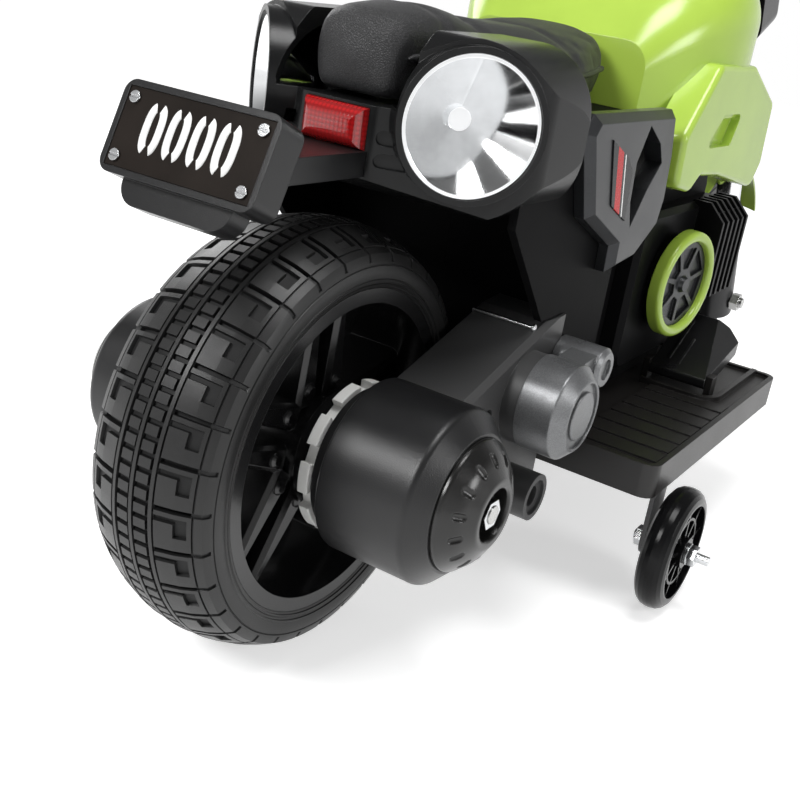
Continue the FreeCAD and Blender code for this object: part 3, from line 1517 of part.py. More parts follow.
def clutch_disc():
    """A pierced disc on the clutch boss, with ribs and a small hub."""
    disc_r = clutch_ring_id / 2 - fit_gap
    hub_r = clutch_hub_d / 2
    face_y = fit_gap + clutch_disc_thick
    disc = turned([(fit_gap, 0), (fit_gap, disc_r), (face_y, disc_r), (face_y, hub_r),
                   (face_y + clutch_hub_rise, hub_r - weld), (face_y + clutch_hub_rise, 0)], 0, 0, 0)
    near = clutch_disc_window_shares[0] * disc_r
    far = clutch_disc_window_shares[1] * disc_r
    half_turn = math.pi / clutch_disc_windows
    near_half = near * math.tan(half_turn) - clutch_disc_rib / 2
    far_half = far * math.tan(half_turn) - clutch_disc_rib / 2
    window = slab([(-near_half, near), (near_half, near), (far_half, far), (-far_half, far)], edge_break,
                  face_y - clutch_disc_window_depth, face_y + overrun)
    windows = []
    for i in range(clutch_disc_windows):
        turn = window.copy()
        turn.rotate(vec(0, 0, 0), vec(0, 1, 0), 360 / clutch_disc_windows * i)
        windows.append(turn)
    return clutch_shape(disc.cut(windows))


def clutch_ring():
    """The coloured ring round the clutch disc."""
    inner = clutch_ring_id / 2
    outer = clutch_ring_od / 2
    return clutch_shape(turned([(fit_gap, inner), (fit_gap, outer), (clutch_ring_thick, outer),
                                (clutch_ring_thick, inner)],
                                [0, edge_break, clutch_ring_round, clutch_ring_round], 0, 0))


# Electrics

def battery():
    """A sealed battery on the floor of the body with two tabs on top."""
    rear = ahead(battery_rear_ahead)
    low = board_top + fit_gap + body_wall + fit_gap
    top = low + battery_height
    case = block(rear, rear + battery_length, -battery_width / 2, battery_width / 2, low, top)
    tab_x = rear + battery_length - battery_tab_inset
    tabs = []
    for side in (-1, 1):
        y = side * (battery_width / 2 - battery_tab_inset)
        tabs.append(block(tab_x, tab_x + battery_tab_length, y, y + battery_tab_thick, top - weld,
                          top + battery_tab_height))
    return fused([case] + tabs)


def control_box():
    """The control board in its case, on top of the battery."""
    rear = ahead(battery_rear_ahead)
    low = board_top + fit_gap + body_wall + fit_gap + battery_height + fit_gap
    box = block(rear, rear + control_length, -control_width / 2, control_width / 2, low, low + control_height)
    return box.makeFillet(body_wall, [e for e in box.Edges if e.BoundBox.ZLength > control_height / 2])


def charge_socket():
    """A round socket with a flange, in the left shell."""
    x = ahead(socket_ahead)
    outer = body_half_width + fit_gap + socket_flange_thick
    body = rod(socket_d, vec(x, outer - socket_depth, socket_z), vec(x, outer, socket_z))
    flange = rod(socket_flange_d, vec(x, outer - socket_flange_thick, socket_z), vec(x, outer, socket_z))
    bore = rod(socket_bore_d, vec(x, outer - socket_bore_depth, socket_z), vec(x, outer + overrun, socket_z))
    return body.fuse(flange).cut(bore)


# Steering

def yoke_plate(half, back, corner, low, high):
    """A rounded yoke between two heights of the steering frame."""
    return plate([(-back, -half), (yoke_front, -half), (yoke_front, half), (-back, half)], corner, low, high)


def leg_bores(low, high):
    """Holes for the two fork legs through a yoke."""
    return [rod(stanchion_d + 2 * fit_gap, vec(fork_offset, y, low - overrun),
                vec(fork_offset, y, high + overrun))
            for y in (-leg_y, leg_y)]


def steering_stem():
    """The steel stem with the lower yoke on its foot."""
    high = -head_half_length - lower_yoke_gap
    low = high - lower_yoke_thick
    yoke = yoke_plate(yoke_half_width, yoke_back, yoke_round, low, high).cut(leg_bores(low, high))
    return steered(yoke.fuse(rod(stem_d, vec(0, 0, low), vec(0, 0, stem_top))))


def fork_leg(side):
    """A bright tube in a wider slider with a foot for the axle."""
    y = side * leg_y
    tube = rod(stanchion_d, vec(fork_offset, y, slider_top - stanchion_d), vec(fork_offset, y, leg_top))
    slider = rod(slider_d, vec(fork_offset, y, -fork_length - slider_foot), vec(fork_offset, y, slider_top))
    slider = slider.makeFillet(weld, edges_where(slider, lambda c: c.z > slider_top - weld))
    bore = rod(axle_d + 2 * fit_gap, vec(fork_offset, y - slider_d, -fork_length),
               vec(fork_offset, y + slider_d, -fork_length))
    return steered(fused([tube, slider]).cut(bore))


def front_axle():
    """The front axle with a nut outside each fork leg, as three solids."""
    nut_y = leg_y + slider_d / 2 + fit_gap
    nut = axle_nut(front_x, nut_y)
    return Part.makeCompound([axle(front_x, front_axle_length), nut, mirrored(nut)])


def front_mudguard():
    """A curved guard over the front tyre, held between the fork tubes."""
    inner = tyre_od / 2 + mudguard_gap
    outer = inner + mudguard_thick
    half = leg_y - stanchion_d / 2 - fit_gap
    edge_inner = inner - mudguard_crown
    edge_outer = outer - mudguard_crown

    def at(y, r):
        return vec(front_x + r, y, axle_z)

    edges = [Part.Arc(at(-half, edge_outer), at(0, outer), at(half, edge_outer)).toShape(),
             Part.LineSegment(at(half, edge_outer), at(half, edge_inner)).toShape(),
             Part.Arc(at(half, edge_inner), at(0, inner), at(-half, edge_inner)).toShape(),
             Part.LineSegment(at(-half, edge_inner), at(-half, edge_outer)).toShape()]
    face = Part.Face(Part.Wire(edges))
    face.rotate(front_axle_place, vec(0, 1, 0), -mudguard_start)
    return face.revolve(front_axle_place, vec(0, -1, 0), mudguard_end - mudguard_start)


def bent_tube(points, radius, diameter):
    """A round bar along straight runs joined by tangent arcs of one radius."""
    edges = []
    last = points[0]
    for before, corner, after in zip(points, points[1:], points[2:]):
        to_last = (before - corner).normalize()
        to_next = (after - corner).normalize()
        half_angle = to_last.getAngle(to_next) / 2
        reach = radius / math.tan(half_angle)
        middle = corner + (to_last + to_next).normalize() * (radius / math.sin(half_angle) - radius)
        edges.append(Part.LineSegment(last, corner + to_last * reach).toShape())
        edges.append(Part.Arc(corner + to_last * reach, middle, corner + to_next * reach).toShape())
        last = corner + to_next * reach
    edges.append(Part.LineSegment(last, points[-1]).toShape())
    ring = Part.Wire(Part.Circle(points[0], points[1] - points[0], diameter / 2).toShape())
    return Part.Wire(edges).makePipeShell([ring], True, False)


def bar_corners(side):
    """The bends of one half of the handlebar, from its middle run to its end."""
    return [vec(0, side * bar_centre_half, bar_clamp_z), vec(-bar_bend_back, side * bar_bend_y, bar_rise_z),
            vec(-bar_end_back, side * bar_end_y, bar_rise_z)]


def handlebar():
    """The bent bar on two risers, with the top yoke below and a boss for each mirror."""
    low = head_half_length + top_yoke_gap
    high = low + top_yoke_thick
    bar = bent_tube(bar_corners(-1)[::-1] + bar_corners(1), bar_bend_radius, bar_d)
    pieces = [yoke_plate(top_yoke_half_width, top_yoke_back, top_yoke_round, low, high), bar]
    boss_top = bar_clamp_z + mirror_boss_height
    for side in (-1, 1):
        riser_top = bar_clamp_z + bar_d / 2 + weld
        pieces.append(rod(riser_d, vec(0, side * riser_y, high - weld), vec(0, side * riser_y, riser_top)))
        pieces.append(rod(mirror_boss_d, vec(0, side * mirror_post_y, bar_clamp_z),
                          vec(0, side * mirror_post_y, boss_top)))
    cuts = [rod(stem_d + 2 * fit_gap, vec(0, 0, low - overrun), vec(0, 0, stem_top + fit_gap))]
    for side in (-1, 1):
        cuts.append(rod(mirror_post_d + 2 * running_gap,
                        vec(0, side * mirror_post_y, boss_top - mirror_socket_depth),
                        vec(0, side * mirror_post_y, boss_top + overrun)))
    return steered(fused(pieces).cut(cuts))


def grip(side):
    """A ribbed sleeve over the end of the bar."""
    start, end = bar_corners(side)[-2:]
    along = (end - start).normalize()
    inner = end - along * grip_length
    sleeve = rod(grip_d, inner, end + along * grip_end_wall)
    pieces = [sleeve]
    step = grip_length / (grip_ribs + 1)
    for i in range(grip_ribs):
        place = inner + along * (step * (i + 1) - grip_rib_width / 2)
        pieces.append(rod(grip_d + 2 * grip_rib_height, place, place + along * grip_rib_width))
    bore = rod(bar_d + 2 * fit_gap, inner - along * overrun, end + along * fit_gap)
    return steered(fused(pieces).cut(bore))


def mirror(side):
    """A mirror on a bent stalk whose post turns in its boss."""
    y = side * mirror_post_y
    foot = vec(0, y, bar_clamp_z + mirror_boss_height - mirror_socket_depth + fit_gap)
    knee = vec(0, y, mirror_post_top)
    middle = vec(0, side * mirror_head_y, mirror_head_z)
    half = mirror_head_width / 2
    low = mirror_head_z - mirror_head_height / 2
    shell = plate([(-mirror_head_thick / 2, middle.y - half), (mirror_head_thick / 2, middle.y - half),
                   (mirror_head_thick / 2, middle.y + half), (-mirror_head_thick / 2, middle.y + half)],
                  mirror_head_round, low, low + mirror_head_height)
    inset = half - mirror_glass_border
    glass = block(-mirror_head_thick, -mirror_head_thick / 2 + mirror_glass_depth, middle.y - inset,
                  middle.y + inset,
                  low + mirror_glass_border, low + mirror_head_height - mirror_glass_border)
    stalk_end = vec(0, middle.y - side * half / 2, low + mirror_head_height / 2)
    pieces = [rod(mirror_post_d, foot, knee), Part.makeSphere(mirror_post_d / 2, knee),
              rod(mirror_stalk_d, knee, stalk_end), shell]
    return steered(fused(pieces).cut(glass))


def headlamp():
    """The lamp shell in front of the steering head, on two arms from the top yoke."""
    half = lamp_shell_half_width
    shell = block(lamp_shell_back, lamp_shell_front, -half, half, lamp_shell_bottom, lamp_shell_top)
    shell = shell.makeFillet(lamp_shell_round,
                             [e for e in shell.Edges if e.BoundBox.XLength > lamp_shell_round
                                                or e.CenterOfMass.x > lamp_shell_front - fit_gap])
    lens_space = lens_block(fit_gap, lamp_shell_front + overrun)
    arm_low = head_half_length + top_yoke_gap + top_yoke_thick + fit_gap
    arm = block(0, lamp_shell_back + weld, lamp_arm_y, lamp_arm_y + lamp_arm_width, arm_low,
                arm_low + lamp_arm_thick)
    return steered(fused([shell, arm, mirrored(arm)]).cut(lens_space))


def lens_block(grow, front):
    """The rounded outline of the lamp lens, grown by a gap, up to a front plane."""
    half = lens_half_width + grow
    back = lamp_shell_front - lens_seat - grow
    corners = [(-half, lens_bottom - grow), (half, lens_bottom - grow), (half, lens_top + grow),
               (-half, lens_top + grow)]
    return rounded_face([vec(back, y, z) for y, z in corners],
                        lens_round + grow).extrude(vec(front - back, 0, 0))


def headlamp_lens():
    """A clear lens set in the front of the lamp shell."""
    return steered(lens_block(0, lamp_shell_front + lens_proud))


def windscreen():
    """A curved leaning screen that stands on the lamp shell."""
    low = lamp_shell_top + fit_gap
    half = screen_half_width

    def arc(inset):
        return [vec(screen_base_back, -half + inset, low), vec(screen_base_front - inset, 0, low),
                vec(screen_base_back, half - inset, low)]

    outer = arc(0)
    inner = arc(screen_thick)
    edges = [Part.Arc(*outer).toShape(), Part.LineSegment(outer[2], inner[2]).toShape(),
             Part.Arc(*reversed(inner)).toShape(), Part.LineSegment(inner[0], outer[0]).toShape()]
    face = Part.Face(Part.Wire(edges))
    return steered(face.extrude(vec(-screen_lean, 0, screen_height)))


# Every node, by name

os.makedirs("parts", exist_ok=True)

left_shell, right_shell = body_shells()
nut = axle_nut(rear_x, housing_mouth_y + cap_well_floor + fit_gap)
bolts = training_bolts()

sided = {
    "motor_housing": motor_housing(),
    "motor_cap": motor_cap(),
    "gearbox": gearbox(),
    "swingarm": rear_arm(),
    "pivot_cover": pivot_cover(),
    "side_panel": side_panel(),
    "engine_block": engine_block(),
    "training_bracket": training_bracket(),
    "training_wheel": training_wheel(),
}
for name, shape in sided.items():
    save(name + "_left", shape)
    save(name + "_right", mirrored(shape))

nodes = {
    "rear_tyre": tyre(rear_x),
    "rear_rim": rim(rear_x),
    "rear_axle": axle(rear_x, rear_axle_length),
    "rear_axle_nuts": both_sides(nut),
    "drive_motors": both_sides(drive_motor()),
    "body_shell_left": left_shell,
    "body_shell_right": right_shell,
    "footboard": footboard(),
    "accelerator_pedal": accelerator_pedal(),
    "pedal_switch": pedal_switch(),
    "training_bolts": Part.makeCompound(bolts + [mirrored(bolt) for bolt in bolts]),
    "tail_cowl": tail_cowl(),
    "tail_lamp": tail_lamp(),
    "exhaust_tips": both_sides(pipe_end()),
    "plate_holder": plate_holder(),
    "number_plate": number_plate(),
    "plate_screws": plate_screws(),
    "side_inserts": both_sides(side_insert()),
    "tank_cover": tank_cover(),
    "dash_panel": dash_panel(),
    "power_switch": rocker(1),
    "direction_switch": rocker(-1),
    "horn_button": horn_button(),
    "seat": seat(),
    "clutch_discs": both_sides(clutch_disc()),
    "clutch_rings": both_sides(clutch_ring()),
    "battery": battery(),
    "control_box": control_box(),
    "charge_socket": charge_socket(),
    "steering_stem": steering_stem(),
    "fork_legs": Part.makeCompound([fork_leg(-1), fork_leg(1)]),
    "front_axle": front_axle(),
    "front_rim": rim(front_x),
    "front_tyre": tyre(front_x),
    "front_mudguard": front_mudguard(),
    "handlebar": handlebar(),
    "grips": Part.makeCompound([grip(-1), grip(1)]),
    "mirror_left": mirror(1),
    "mirror_right": mirror(-1),
    "headlamp": headlamp(),
    "headlamp_lens": headlamp_lens(),
    "windscreen": windscreen(),
}
for name, shape in nodes.items():
    save(name, shape)
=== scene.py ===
import math
import bpy
import numpy as np
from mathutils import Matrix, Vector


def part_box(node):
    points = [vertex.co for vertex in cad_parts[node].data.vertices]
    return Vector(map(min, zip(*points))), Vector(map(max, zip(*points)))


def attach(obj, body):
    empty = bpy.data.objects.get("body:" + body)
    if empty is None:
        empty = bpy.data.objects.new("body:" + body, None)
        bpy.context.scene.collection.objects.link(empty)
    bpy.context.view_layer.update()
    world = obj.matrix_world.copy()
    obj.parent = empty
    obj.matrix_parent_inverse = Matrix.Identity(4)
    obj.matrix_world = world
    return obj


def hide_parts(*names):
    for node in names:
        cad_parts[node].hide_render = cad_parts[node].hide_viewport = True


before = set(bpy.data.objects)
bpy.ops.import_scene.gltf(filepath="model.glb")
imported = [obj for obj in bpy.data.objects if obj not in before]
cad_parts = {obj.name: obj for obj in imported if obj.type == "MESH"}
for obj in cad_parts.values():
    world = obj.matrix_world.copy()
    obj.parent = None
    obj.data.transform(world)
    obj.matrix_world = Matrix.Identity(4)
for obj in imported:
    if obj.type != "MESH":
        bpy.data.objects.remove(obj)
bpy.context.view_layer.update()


# Rear and front tyres. Each is a hollow ring of black plastic, blow moulded with its
# block tread, and snapped over the beads of its rim. There is no tube.
axle_reach = 0.360
tread_radius = 0.150
tread_half = 0.045
tread_drop = 0.013
wall_foot = 0.1142
wall_bow = (0.011, -0.010)
bead_half = 0.0408
bead_radius = 0.1072
pitches = 32
draft_across = 0.0005
draft_round = 0.018
draft_down = 0.02
channel_lines = (0.0015, 0.0132)
column_lines = (0.0023, 0.0116)
band_lines = (0.0162, 0.0170)
recess_lines = (0.0300, 0.0380)
groove_end = 0.0400
rim_lines = (0.0412, 0.0420)
groove_turn = 0.10
gap_turns = ((0, 0.10), (1 / 3, 0.433), (2 / 3, 0.767))
bar_turns = (0.22, 1 / 3)
leg_turns = (0.30, 2 / 3)
block_turns = (0, 0.10, 0.22, 1 / 3, 0.433, 0.553, 2 / 3, 0.767, 0.887)
groove_drop = 0.22
ring_drops = (0.30, 0.335)
bead_drops = ((0.72, 0.78), (0.86, 0.93))
column_depth = 0.0003
channel_cut = 0.0030
band_depth = 0.0016
groove_depth = 0.0042
groove_end_depth = 0.0016
recess_depth = 0.0024
rim_line_depth = 0.0011
wall_groove_depth = 0.0014
ring_depth = 0.0007
bead_rise = 0.0008


def two_lines(edges, draft):
    """Every edge of a pattern as two grid lines, half a draft to each side, so that a step gets a sloped
    wall."""
    edges = np.asarray(edges)
    return np.sort(np.concatenate([edges - draft / 2, edges + draft / 2]))


def between(values, ends):
    """True where a value lies between two ends."""
    return (values > ends[0]) & (values < ends[1])


def tread_depth(reach, turn):
    """Depth cut below the tread's bow, from the reach off the middle line and the turn in pitches: a thin
    middle rib, a column of small blocks, a plain band, then shoulder blocks with a cross groove and a
    stepped recess."""
    gap = between(turn, gap_turns[0]) | between(turn, gap_turns[1]) | between(turn, gap_turns[2])
    column = between(reach, column_lines) & ~gap
    depth = np.where(between(reach, channel_lines), np.where(column, column_depth, channel_cut), 0.0)
    depth = np.where(between(reach, band_lines), band_depth, depth)
    groove = between(turn, (0, groove_turn))
    depth = np.where(groove & between(reach, (band_lines[1], groove_end)), groove_depth, depth)
    depth = np.where(groove & (reach > groove_end), groove_end_depth, depth)
    bar = between(turn, bar_turns) & between(reach, (band_lines[1], recess_lines[1]))
    leg = between(turn, leg_turns) & between(reach, recess_lines)
    depth = np.where(bar | leg, recess_depth, depth)
    return np.where(between(reach, rim_lines) & ~groove, rim_line_depth, depth)


def wall_depth(drop, turn):
    """Depth cut into the side wall, from the drop below the shoulder as a share: the cross grooves run a
    little way down it, a fine line rings its upper half, and two low beads stand proud near the rim."""
    depth = np.where(between(turn, (0, groove_turn)) & (drop < groove_drop), wall_groove_depth, 0.0)
    depth = np.where(between(drop, ring_drops), ring_depth, depth)
    return np.where(between(drop, bead_drops[0]) | between(drop, bead_drops[1]), -bead_rise, depth)


def tyre_points(axle_x):
    """Grid of a treaded tyre: lines round the section by lines round the axle. The tread follows a bow of
    one radius and the wall a parabola, and every point is sunk along the section's own normal by the
    pattern."""
    bow = (tread_half ** 2 + tread_drop ** 2) / (2 * tread_drop)
    edges = two_lines([*channel_lines, *column_lines, *band_lines, *recess_lines, groove_end, *rim_lines],
                      draft_across)
    reach = np.concatenate([-edges[::-1], edges])
    tread = np.stack([bow * np.sin(reach / bow), tread_radius - bow * (1 - np.cos(reach / bow)),
                      np.sin(reach / bow), np.cos(reach / bow)], axis=1)
    fall = tread_radius - tread_drop - wall_foot
    steps = two_lines([groove_drop, *ring_drops, *bead_drops[0], *bead_drops[1]], draft_down)
    drop = np.sort(np.concatenate([steps, [0.0, 0.06, 0.12, 0.42, 0.52, 0.62, 1.0]]))
    lean = wall_bow[0] + 2 * wall_bow[1] * drop
    long = np.hypot(fall, lean)
    half = tread_half + wall_bow[0] * drop + wall_bow[1] * drop ** 2
    right = np.stack([half, wall_foot + fall * (1 - drop), fall / long, lean / long], axis=1)
    left = right[::-1] * [-1, 1, -1, 1]
    seat = np.array([[bead_half, wall_foot, 0, 0], [bead_half, bead_radius, 0, 0],
                     [-bead_half, bead_radius, 0, 0], [-bead_half, wall_foot, 0, 0]])
    edges = two_lines(block_turns, draft_round)
    turn = (np.arange(pitches)[:, None] + edges).ravel()
    near = np.mod(turn, 1)
    far = np.mod(turn + 1 / 3, 1)
    sunk = np.concatenate([
        wall_depth(drop[::-1, None], near[None]),
        tread_depth(np.abs(reach[:, None]), np.where(reach[:, None] < 0, near[None], far[None])),
        wall_depth(drop[:, None], far[None]),
        np.zeros((len(seat), len(turn)))])
    section = np.concatenate([left, tread, right, seat])
    across = section[:, 0, None] - section[:, 2, None] * sunk
    radius = section[:, 1, None] - section[:, 3, None] * sunk
    angle = 2 * math.pi * turn / pitches
    x = axle_x - radius * np.sin(angle)
    z = tread_radius + radius * np.cos(angle)
    return np.stack([x, across, z], axis=-1), sunk


def surface(name, points, wrap_rows=False, wrap_columns=False, turned=False, capped=False):
    """An object whose mesh is a grid of points, rows by columns, faced with four-sided faces. Either way
    across the grid may close on itself, capped closes the first and last rows, and turned puts the faces
    the other way out."""
    rows, columns = points.shape[:2]
    here = np.arange(rows * columns).reshape(rows, columns)
    right = np.roll(here, -1, axis=1)
    faces = np.stack([here, right, np.roll(right, -1, axis=0), np.roll(here, -1, axis=0)], axis=-1)
    faces = faces[:rows if wrap_rows else rows - 1, :columns if wrap_columns else columns - 1].reshape(-1, 4)
    ends = np.stack([here[0, ::-1], here[-1]])[:2 if capped else 0]
    way = -1 if turned else 1
    mesh = bpy.data.meshes.new(name)
    mesh.from_pydata(points.reshape(-1, 3), [], faces[:, ::way].tolist() + ends[:, ::way].tolist())
    mesh.shade_smooth()
    piece = bpy.data.objects.new(name, mesh)
    bpy.context.scene.collection.objects.link(piece)
    return piece


def fill(tree, node, inputs):
    """Fills a node's inputs by name or number: a socket is linked, and anything else is written in."""
    for key, value in inputs.items():
        if isinstance(value, bpy.types.NodeSocket):
            tree.links.new(value, node.inputs[key])
        else:
            node.inputs[key].default_value = value


def put(tree, kind, inputs, **settings):
    """Adds a shader node of that kind, with its settings and inputs."""
    node = tree.nodes.new("ShaderNode" + kind)
    for field, value in settings.items():
        setattr(node, field, value)
    fill(tree, node, inputs)
    return node


def reckon(tree, operation, *inputs):
    """The value of one step of arithmetic on two or three inputs."""
    return put(tree, "Math", dict(enumerate(inputs)), operation=operation).outputs["Value"]


def spread(tree, value, low, high, out_low, out_high):
    """A value stretched from one range to another and held at the ends."""
    return put(tree, "MapRange", {"Value": value, "From Min": low, "From Max": high,
                                  "To Min": out_low, "To Max": out_high}).outputs["Result"]


def tones(tree, value, *stops):
    """A colour picked along a run of stops, each a place and a colour."""
    ramp = put(tree, "ValToRGB", {"Fac": value})
    bar = ramp.color_ramp
    for index, (place, colour) in enumerate(stops):
        stop = bar.elements[index] if index < 2 else bar.elements.new(place)
        stop.position = place
        stop.color = (*colour, 1)
    return ramp.outputs["Color"]


def new_finish(name):
    """An empty finish: the material, its tree, its surface shader and the object's own coordinates."""
    finish = bpy.data.materials.new(name)
    finish.use_nodes = True
    tree = finish.node_tree
    return finish, tree, tree.nodes["Principled BSDF"], put(tree, "TexCoord", {}).outputs["Object"]


def noise(tree, where, scale, detail=2.0, rough=0.5):
    """Soft noise in the object's own space, at a number of lumps to the metre."""
    return put(tree, "TexNoise", {"Vector": where, "Scale": scale, "Detail": detail,
                                  "Roughness": rough}).outputs["Fac"]


def tyre_plastic():
    """Dull black tyre plastic: groove floors and other sunk parts are painted near black and stay dull, as
    painted shade in the recesses; block tops are greyer and smoother in rubbed patches, and a fine moulded
    grain covers it all."""
    finish, tree, shader, where = new_finish("tyre_plastic")
    sunk = put(tree, "Attribute", {}, attribute_name="sunk").outputs["Fac"]
    patch = noise(tree, where, 26.0, 5.0, 0.6)
    fine = noise(tree, where, 1700.0)
    # Block tops against sunk parts: the grooves are painted darker, as painted shade in the recesses.
    top = spread(tree, sunk, 0.05, 0.45, 1.0, 0.0)
    tone = reckon(tree, "MULTIPLY_ADD", patch, 0.5, 0.35)
    tone = reckon(tree, "MULTIPLY", top, tone)
    colour = tones(tree, tone, (0.0, (0.0032, 0.0032, 0.0034)), (0.45, (0.0085, 0.0085, 0.0088)),
                   (0.85, (0.0160, 0.0158, 0.0155)))
    bump = put(tree, "Bump", {"Strength": 0.35, "Distance": 0.0003, "Height": fine})
    fill(tree, shader, {"Base Color": colour, "Roughness": spread(tree, tone, 0.0, 0.7, 0.62, 0.31),
                        "Normal": bump.outputs["Normal"], "Specular IOR Level": 0.33})
    return finish


tyre_finish = tyre_plastic()
for name, node, axle_x, body in (("rear_tread", "rear_tyre", -axle_reach, "rear_wheel"),
                                 ("front_tread", "front_tyre", axle_reach, "front_wheel")):
    points, sunk = tyre_points(axle_x)
    tyre = surface(name, points, wrap_rows=True, wrap_columns=True)
    tyre.data.set_sharp_from_angle(angle=math.radians(30))
    layer = tyre.data.attributes.new("sunk", "FLOAT", "POINT")
    layer.data.foreach_set("value", np.clip(sunk / groove_depth, 0, 1).ravel().astype(np.float32))
    tyre.data.materials.append(tyre_finish)
    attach(tyre, body)
    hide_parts(node)


# Wheel rims. Deep dished five-spoke discs, injection moulded in black plastic in two
# halves that are screwed together through the tyre, with a satin grain.
def moulded_plastic(name, colour, rough, pale, grain=0.30, round_over=0.0009, shine=0.5):
    """Injection-moulded plastic: a fine spark-eroded grain, faint flow patches in colour and gloss, corners
    rounded over as the mould leaves them, and those corners painted a little paler in scuffed spots, partly
    as rubbed wear and partly as painted edge highlights."""
    finish, tree, shader, where = new_finish(name)
    patch = noise(tree, where, 14.0, 4.0, 0.55)
    fine = noise(tree, where, 1500.0)
    scuff_and_highlight = noise(tree, where, 160.0, 6.0, 0.7)
    rounded = put(tree, "Bevel", {"Radius": round_over}, samples=4).outputs["Normal"]
    face = put(tree, "NewGeometry", {}).outputs["True Normal"]
    match = put(tree, "VectorMath", {0: rounded, 1: face}, operation="DOT_PRODUCT").outputs["Value"]
    # Paler corners where the scuff noise is high: partly rubbed wear, partly painted edge highlight.
    corner = spread(tree, match, 0.985, 0.86, 0.0, 1.0)
    rubbed_and_sheen = spread(tree, scuff_and_highlight, 0.40, 0.72, 0.0, 1.0)
    wear_and_edge_highlight = reckon(tree, "MULTIPLY", corner, rubbed_and_sheen)
    tone = reckon(tree, "MULTIPLY", patch, 0.5)
    tone = reckon(tree, "MULTIPLY_ADD", wear_and_edge_highlight, 0.5, tone)
    deep = tuple(0.86 * part for part in colour)
    base = tones(tree, tone, (0.12, deep), (0.36, colour), (1.0, pale))
    bump = put(tree, "Bump", {"Strength": grain, "Distance": 0.00025, "Height": fine, "Normal": rounded})
    fill(tree, shader, {"Base Color": base, "Normal": bump.outputs["Normal"], "Specular IOR Level": shine,
                        "Roughness": spread(tree, tone, 0.12, 0.6, 0.88 * rough, 1.16 * rough)})
    return finish


def dress(finish, *nodes):
    """Puts a finish on these nodes of the frame."""
    for node in nodes:
        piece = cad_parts[node]
        piece.data.materials.clear()
        piece.data.materials.append(finish)


rim_plastic = moulded_plastic("rim_plastic", (0.0060, 0.0060, 0.0063), 0.22, (0.040, 0.040, 0.042),
                              grain=0.12)
dress(rim_plastic, "rear_rim", "front_rim")


# Rear axle and its nuts. A plain steel rod turned from bar, with a domed nut at each end
# that is zinc plated bright and lies in the well of the motor cap.
def bright_plate(name, colour, rough):
    """Bright plated metal: a mirror skin with a faint ripple, hazy patches and fine rubbing marks."""
    finish, tree, shader, where = new_finish(name)
    haze = noise(tree, where, 60.0, 5.0, 0.6)
    drawn = put(tree, "Mapping", {"Vector": where, "Scale": (60.0, 900.0, 900.0)}).outputs["Vector"]
    marks = noise(tree, drawn, 1.0, 3.0)
    rounded = put(tree, "Bevel", {"Radius": 0.0006}, samples=4).outputs["Normal"]
    bump = put(tree, "Bump", {"Strength": 0.06, "Distance": 0.0002, "Height": marks, "Normal": rounded})
    dull = tuple(0.93 * part for part in colour)
    fill(tree, shader, {"Base Color": tones(tree, haze, (0.30, dull), (0.62, colour)), "Metallic": 1.0,
                        "Roughness": spread(tree, haze, 0.3, 0.75, 0.8 * rough, 1.4 * rough),
                        "Normal": bump.outputs["Normal"]})
    return finish


steel = bright_plate("turned_steel", (0.50, 0.50, 0.49), 0.28)
zinc = bright_plate("zinc_plate", (0.60, 0.61, 0.62), 0.20)
dress(zinc, "rear_axle_nuts")
dress(steel, "rear_axle")


# Rear drive. On each side a barrel housing of black plastic holds a small motor, with a
# white nylon gear case against the wheel and a domed, slotted cap pressed into its mouth.
housing_plastic = moulded_plastic("housing_plastic", (0.0085, 0.0085, 0.0090), 0.34, (0.045, 0.045, 0.047),
                                  grain=0.42, shine=0.38)
cap_plastic = moulded_plastic("cap_plastic", (0.0085, 0.0083, 0.0080), 0.22, (0.060, 0.060, 0.062),
                              grain=0.15, round_over=0.0014, shine=0.42)
white_plastic = moulded_plastic("white_nylon", (0.74, 0.74, 0.72), 0.42, (0.82, 0.82, 0.80), grain=0.2)
dress(housing_plastic, "motor_housing_left", "motor_housing_right")
dress(cap_plastic, "motor_cap_left", "motor_cap_right")
dress(white_plastic, "gearbox_left", "gearbox_right")
dress(steel, "drive_motors")


# Swing arms, their round pivot covers and pins. The arms are hollow black mouldings held to
# the body by a steel cross pin each; the pewter-grey covers are pushed into them.
def pewter_plastic(name, colour, rough):
    """Grey plastic with fine metal flake: the flake glints in specks and the gloss drifts in patches."""
    finish, tree, shader, where = new_finish(name)
    flake = put(tree, "TexVoronoi", {"Vector": where, "Scale": 2600.0}).outputs["Color"]
    speck = put(tree, "SeparateColor", {"Color": flake}).outputs["Red"]
    patch = noise(tree, where, 18.0, 4.0)
    rounded = put(tree, "Bevel", {"Radius": 0.0010}, samples=4).outputs["Normal"]
    tone = reckon(tree, "MULTIPLY_ADD", speck, 0.45, patch)
    dark = tuple(0.72 * part for part in colour)
    light = tuple(1.35 * part for part in colour)
    bump = put(tree, "Bump", {"Strength": 0.10, "Distance": 0.0002, "Height": speck, "Normal": rounded})
    base = tones(tree, tone, (0.40, dark), (0.70, colour), (1.0, light))
    fill(tree, shader, {"Base Color": base, "Metallic": 0.55, "Normal": bump.outputs["Normal"],
                        "Roughness": spread(tree, patch, 0.3, 0.7, 0.85 * rough, 1.2 * rough)})
    return finish


pewter = pewter_plastic("pewter_plastic", (0.158, 0.161, 0.165), 0.32)
arm_plastic = moulded_plastic("arm_plastic", (0.0440, 0.0440, 0.0445), 0.42, (0.085, 0.085, 0.087),
                              grain=0.42)
dress(arm_plastic, "swingarm_left", "swingarm_right")
dress(pewter, "pivot_cover_left", "pivot_cover_right")

pin_place = (-0.2283, 0.2317)
pin_run = np.array([0.0560, 0.0561, 0.1055, 0.1056, 0.1062, 0.1073, 0.1081, 0.1083])
pin_radius = np.array([0.0002, 0.0015, 0.0015, 0.0028, 0.0032, 0.0029, 0.0015, 0.0002])


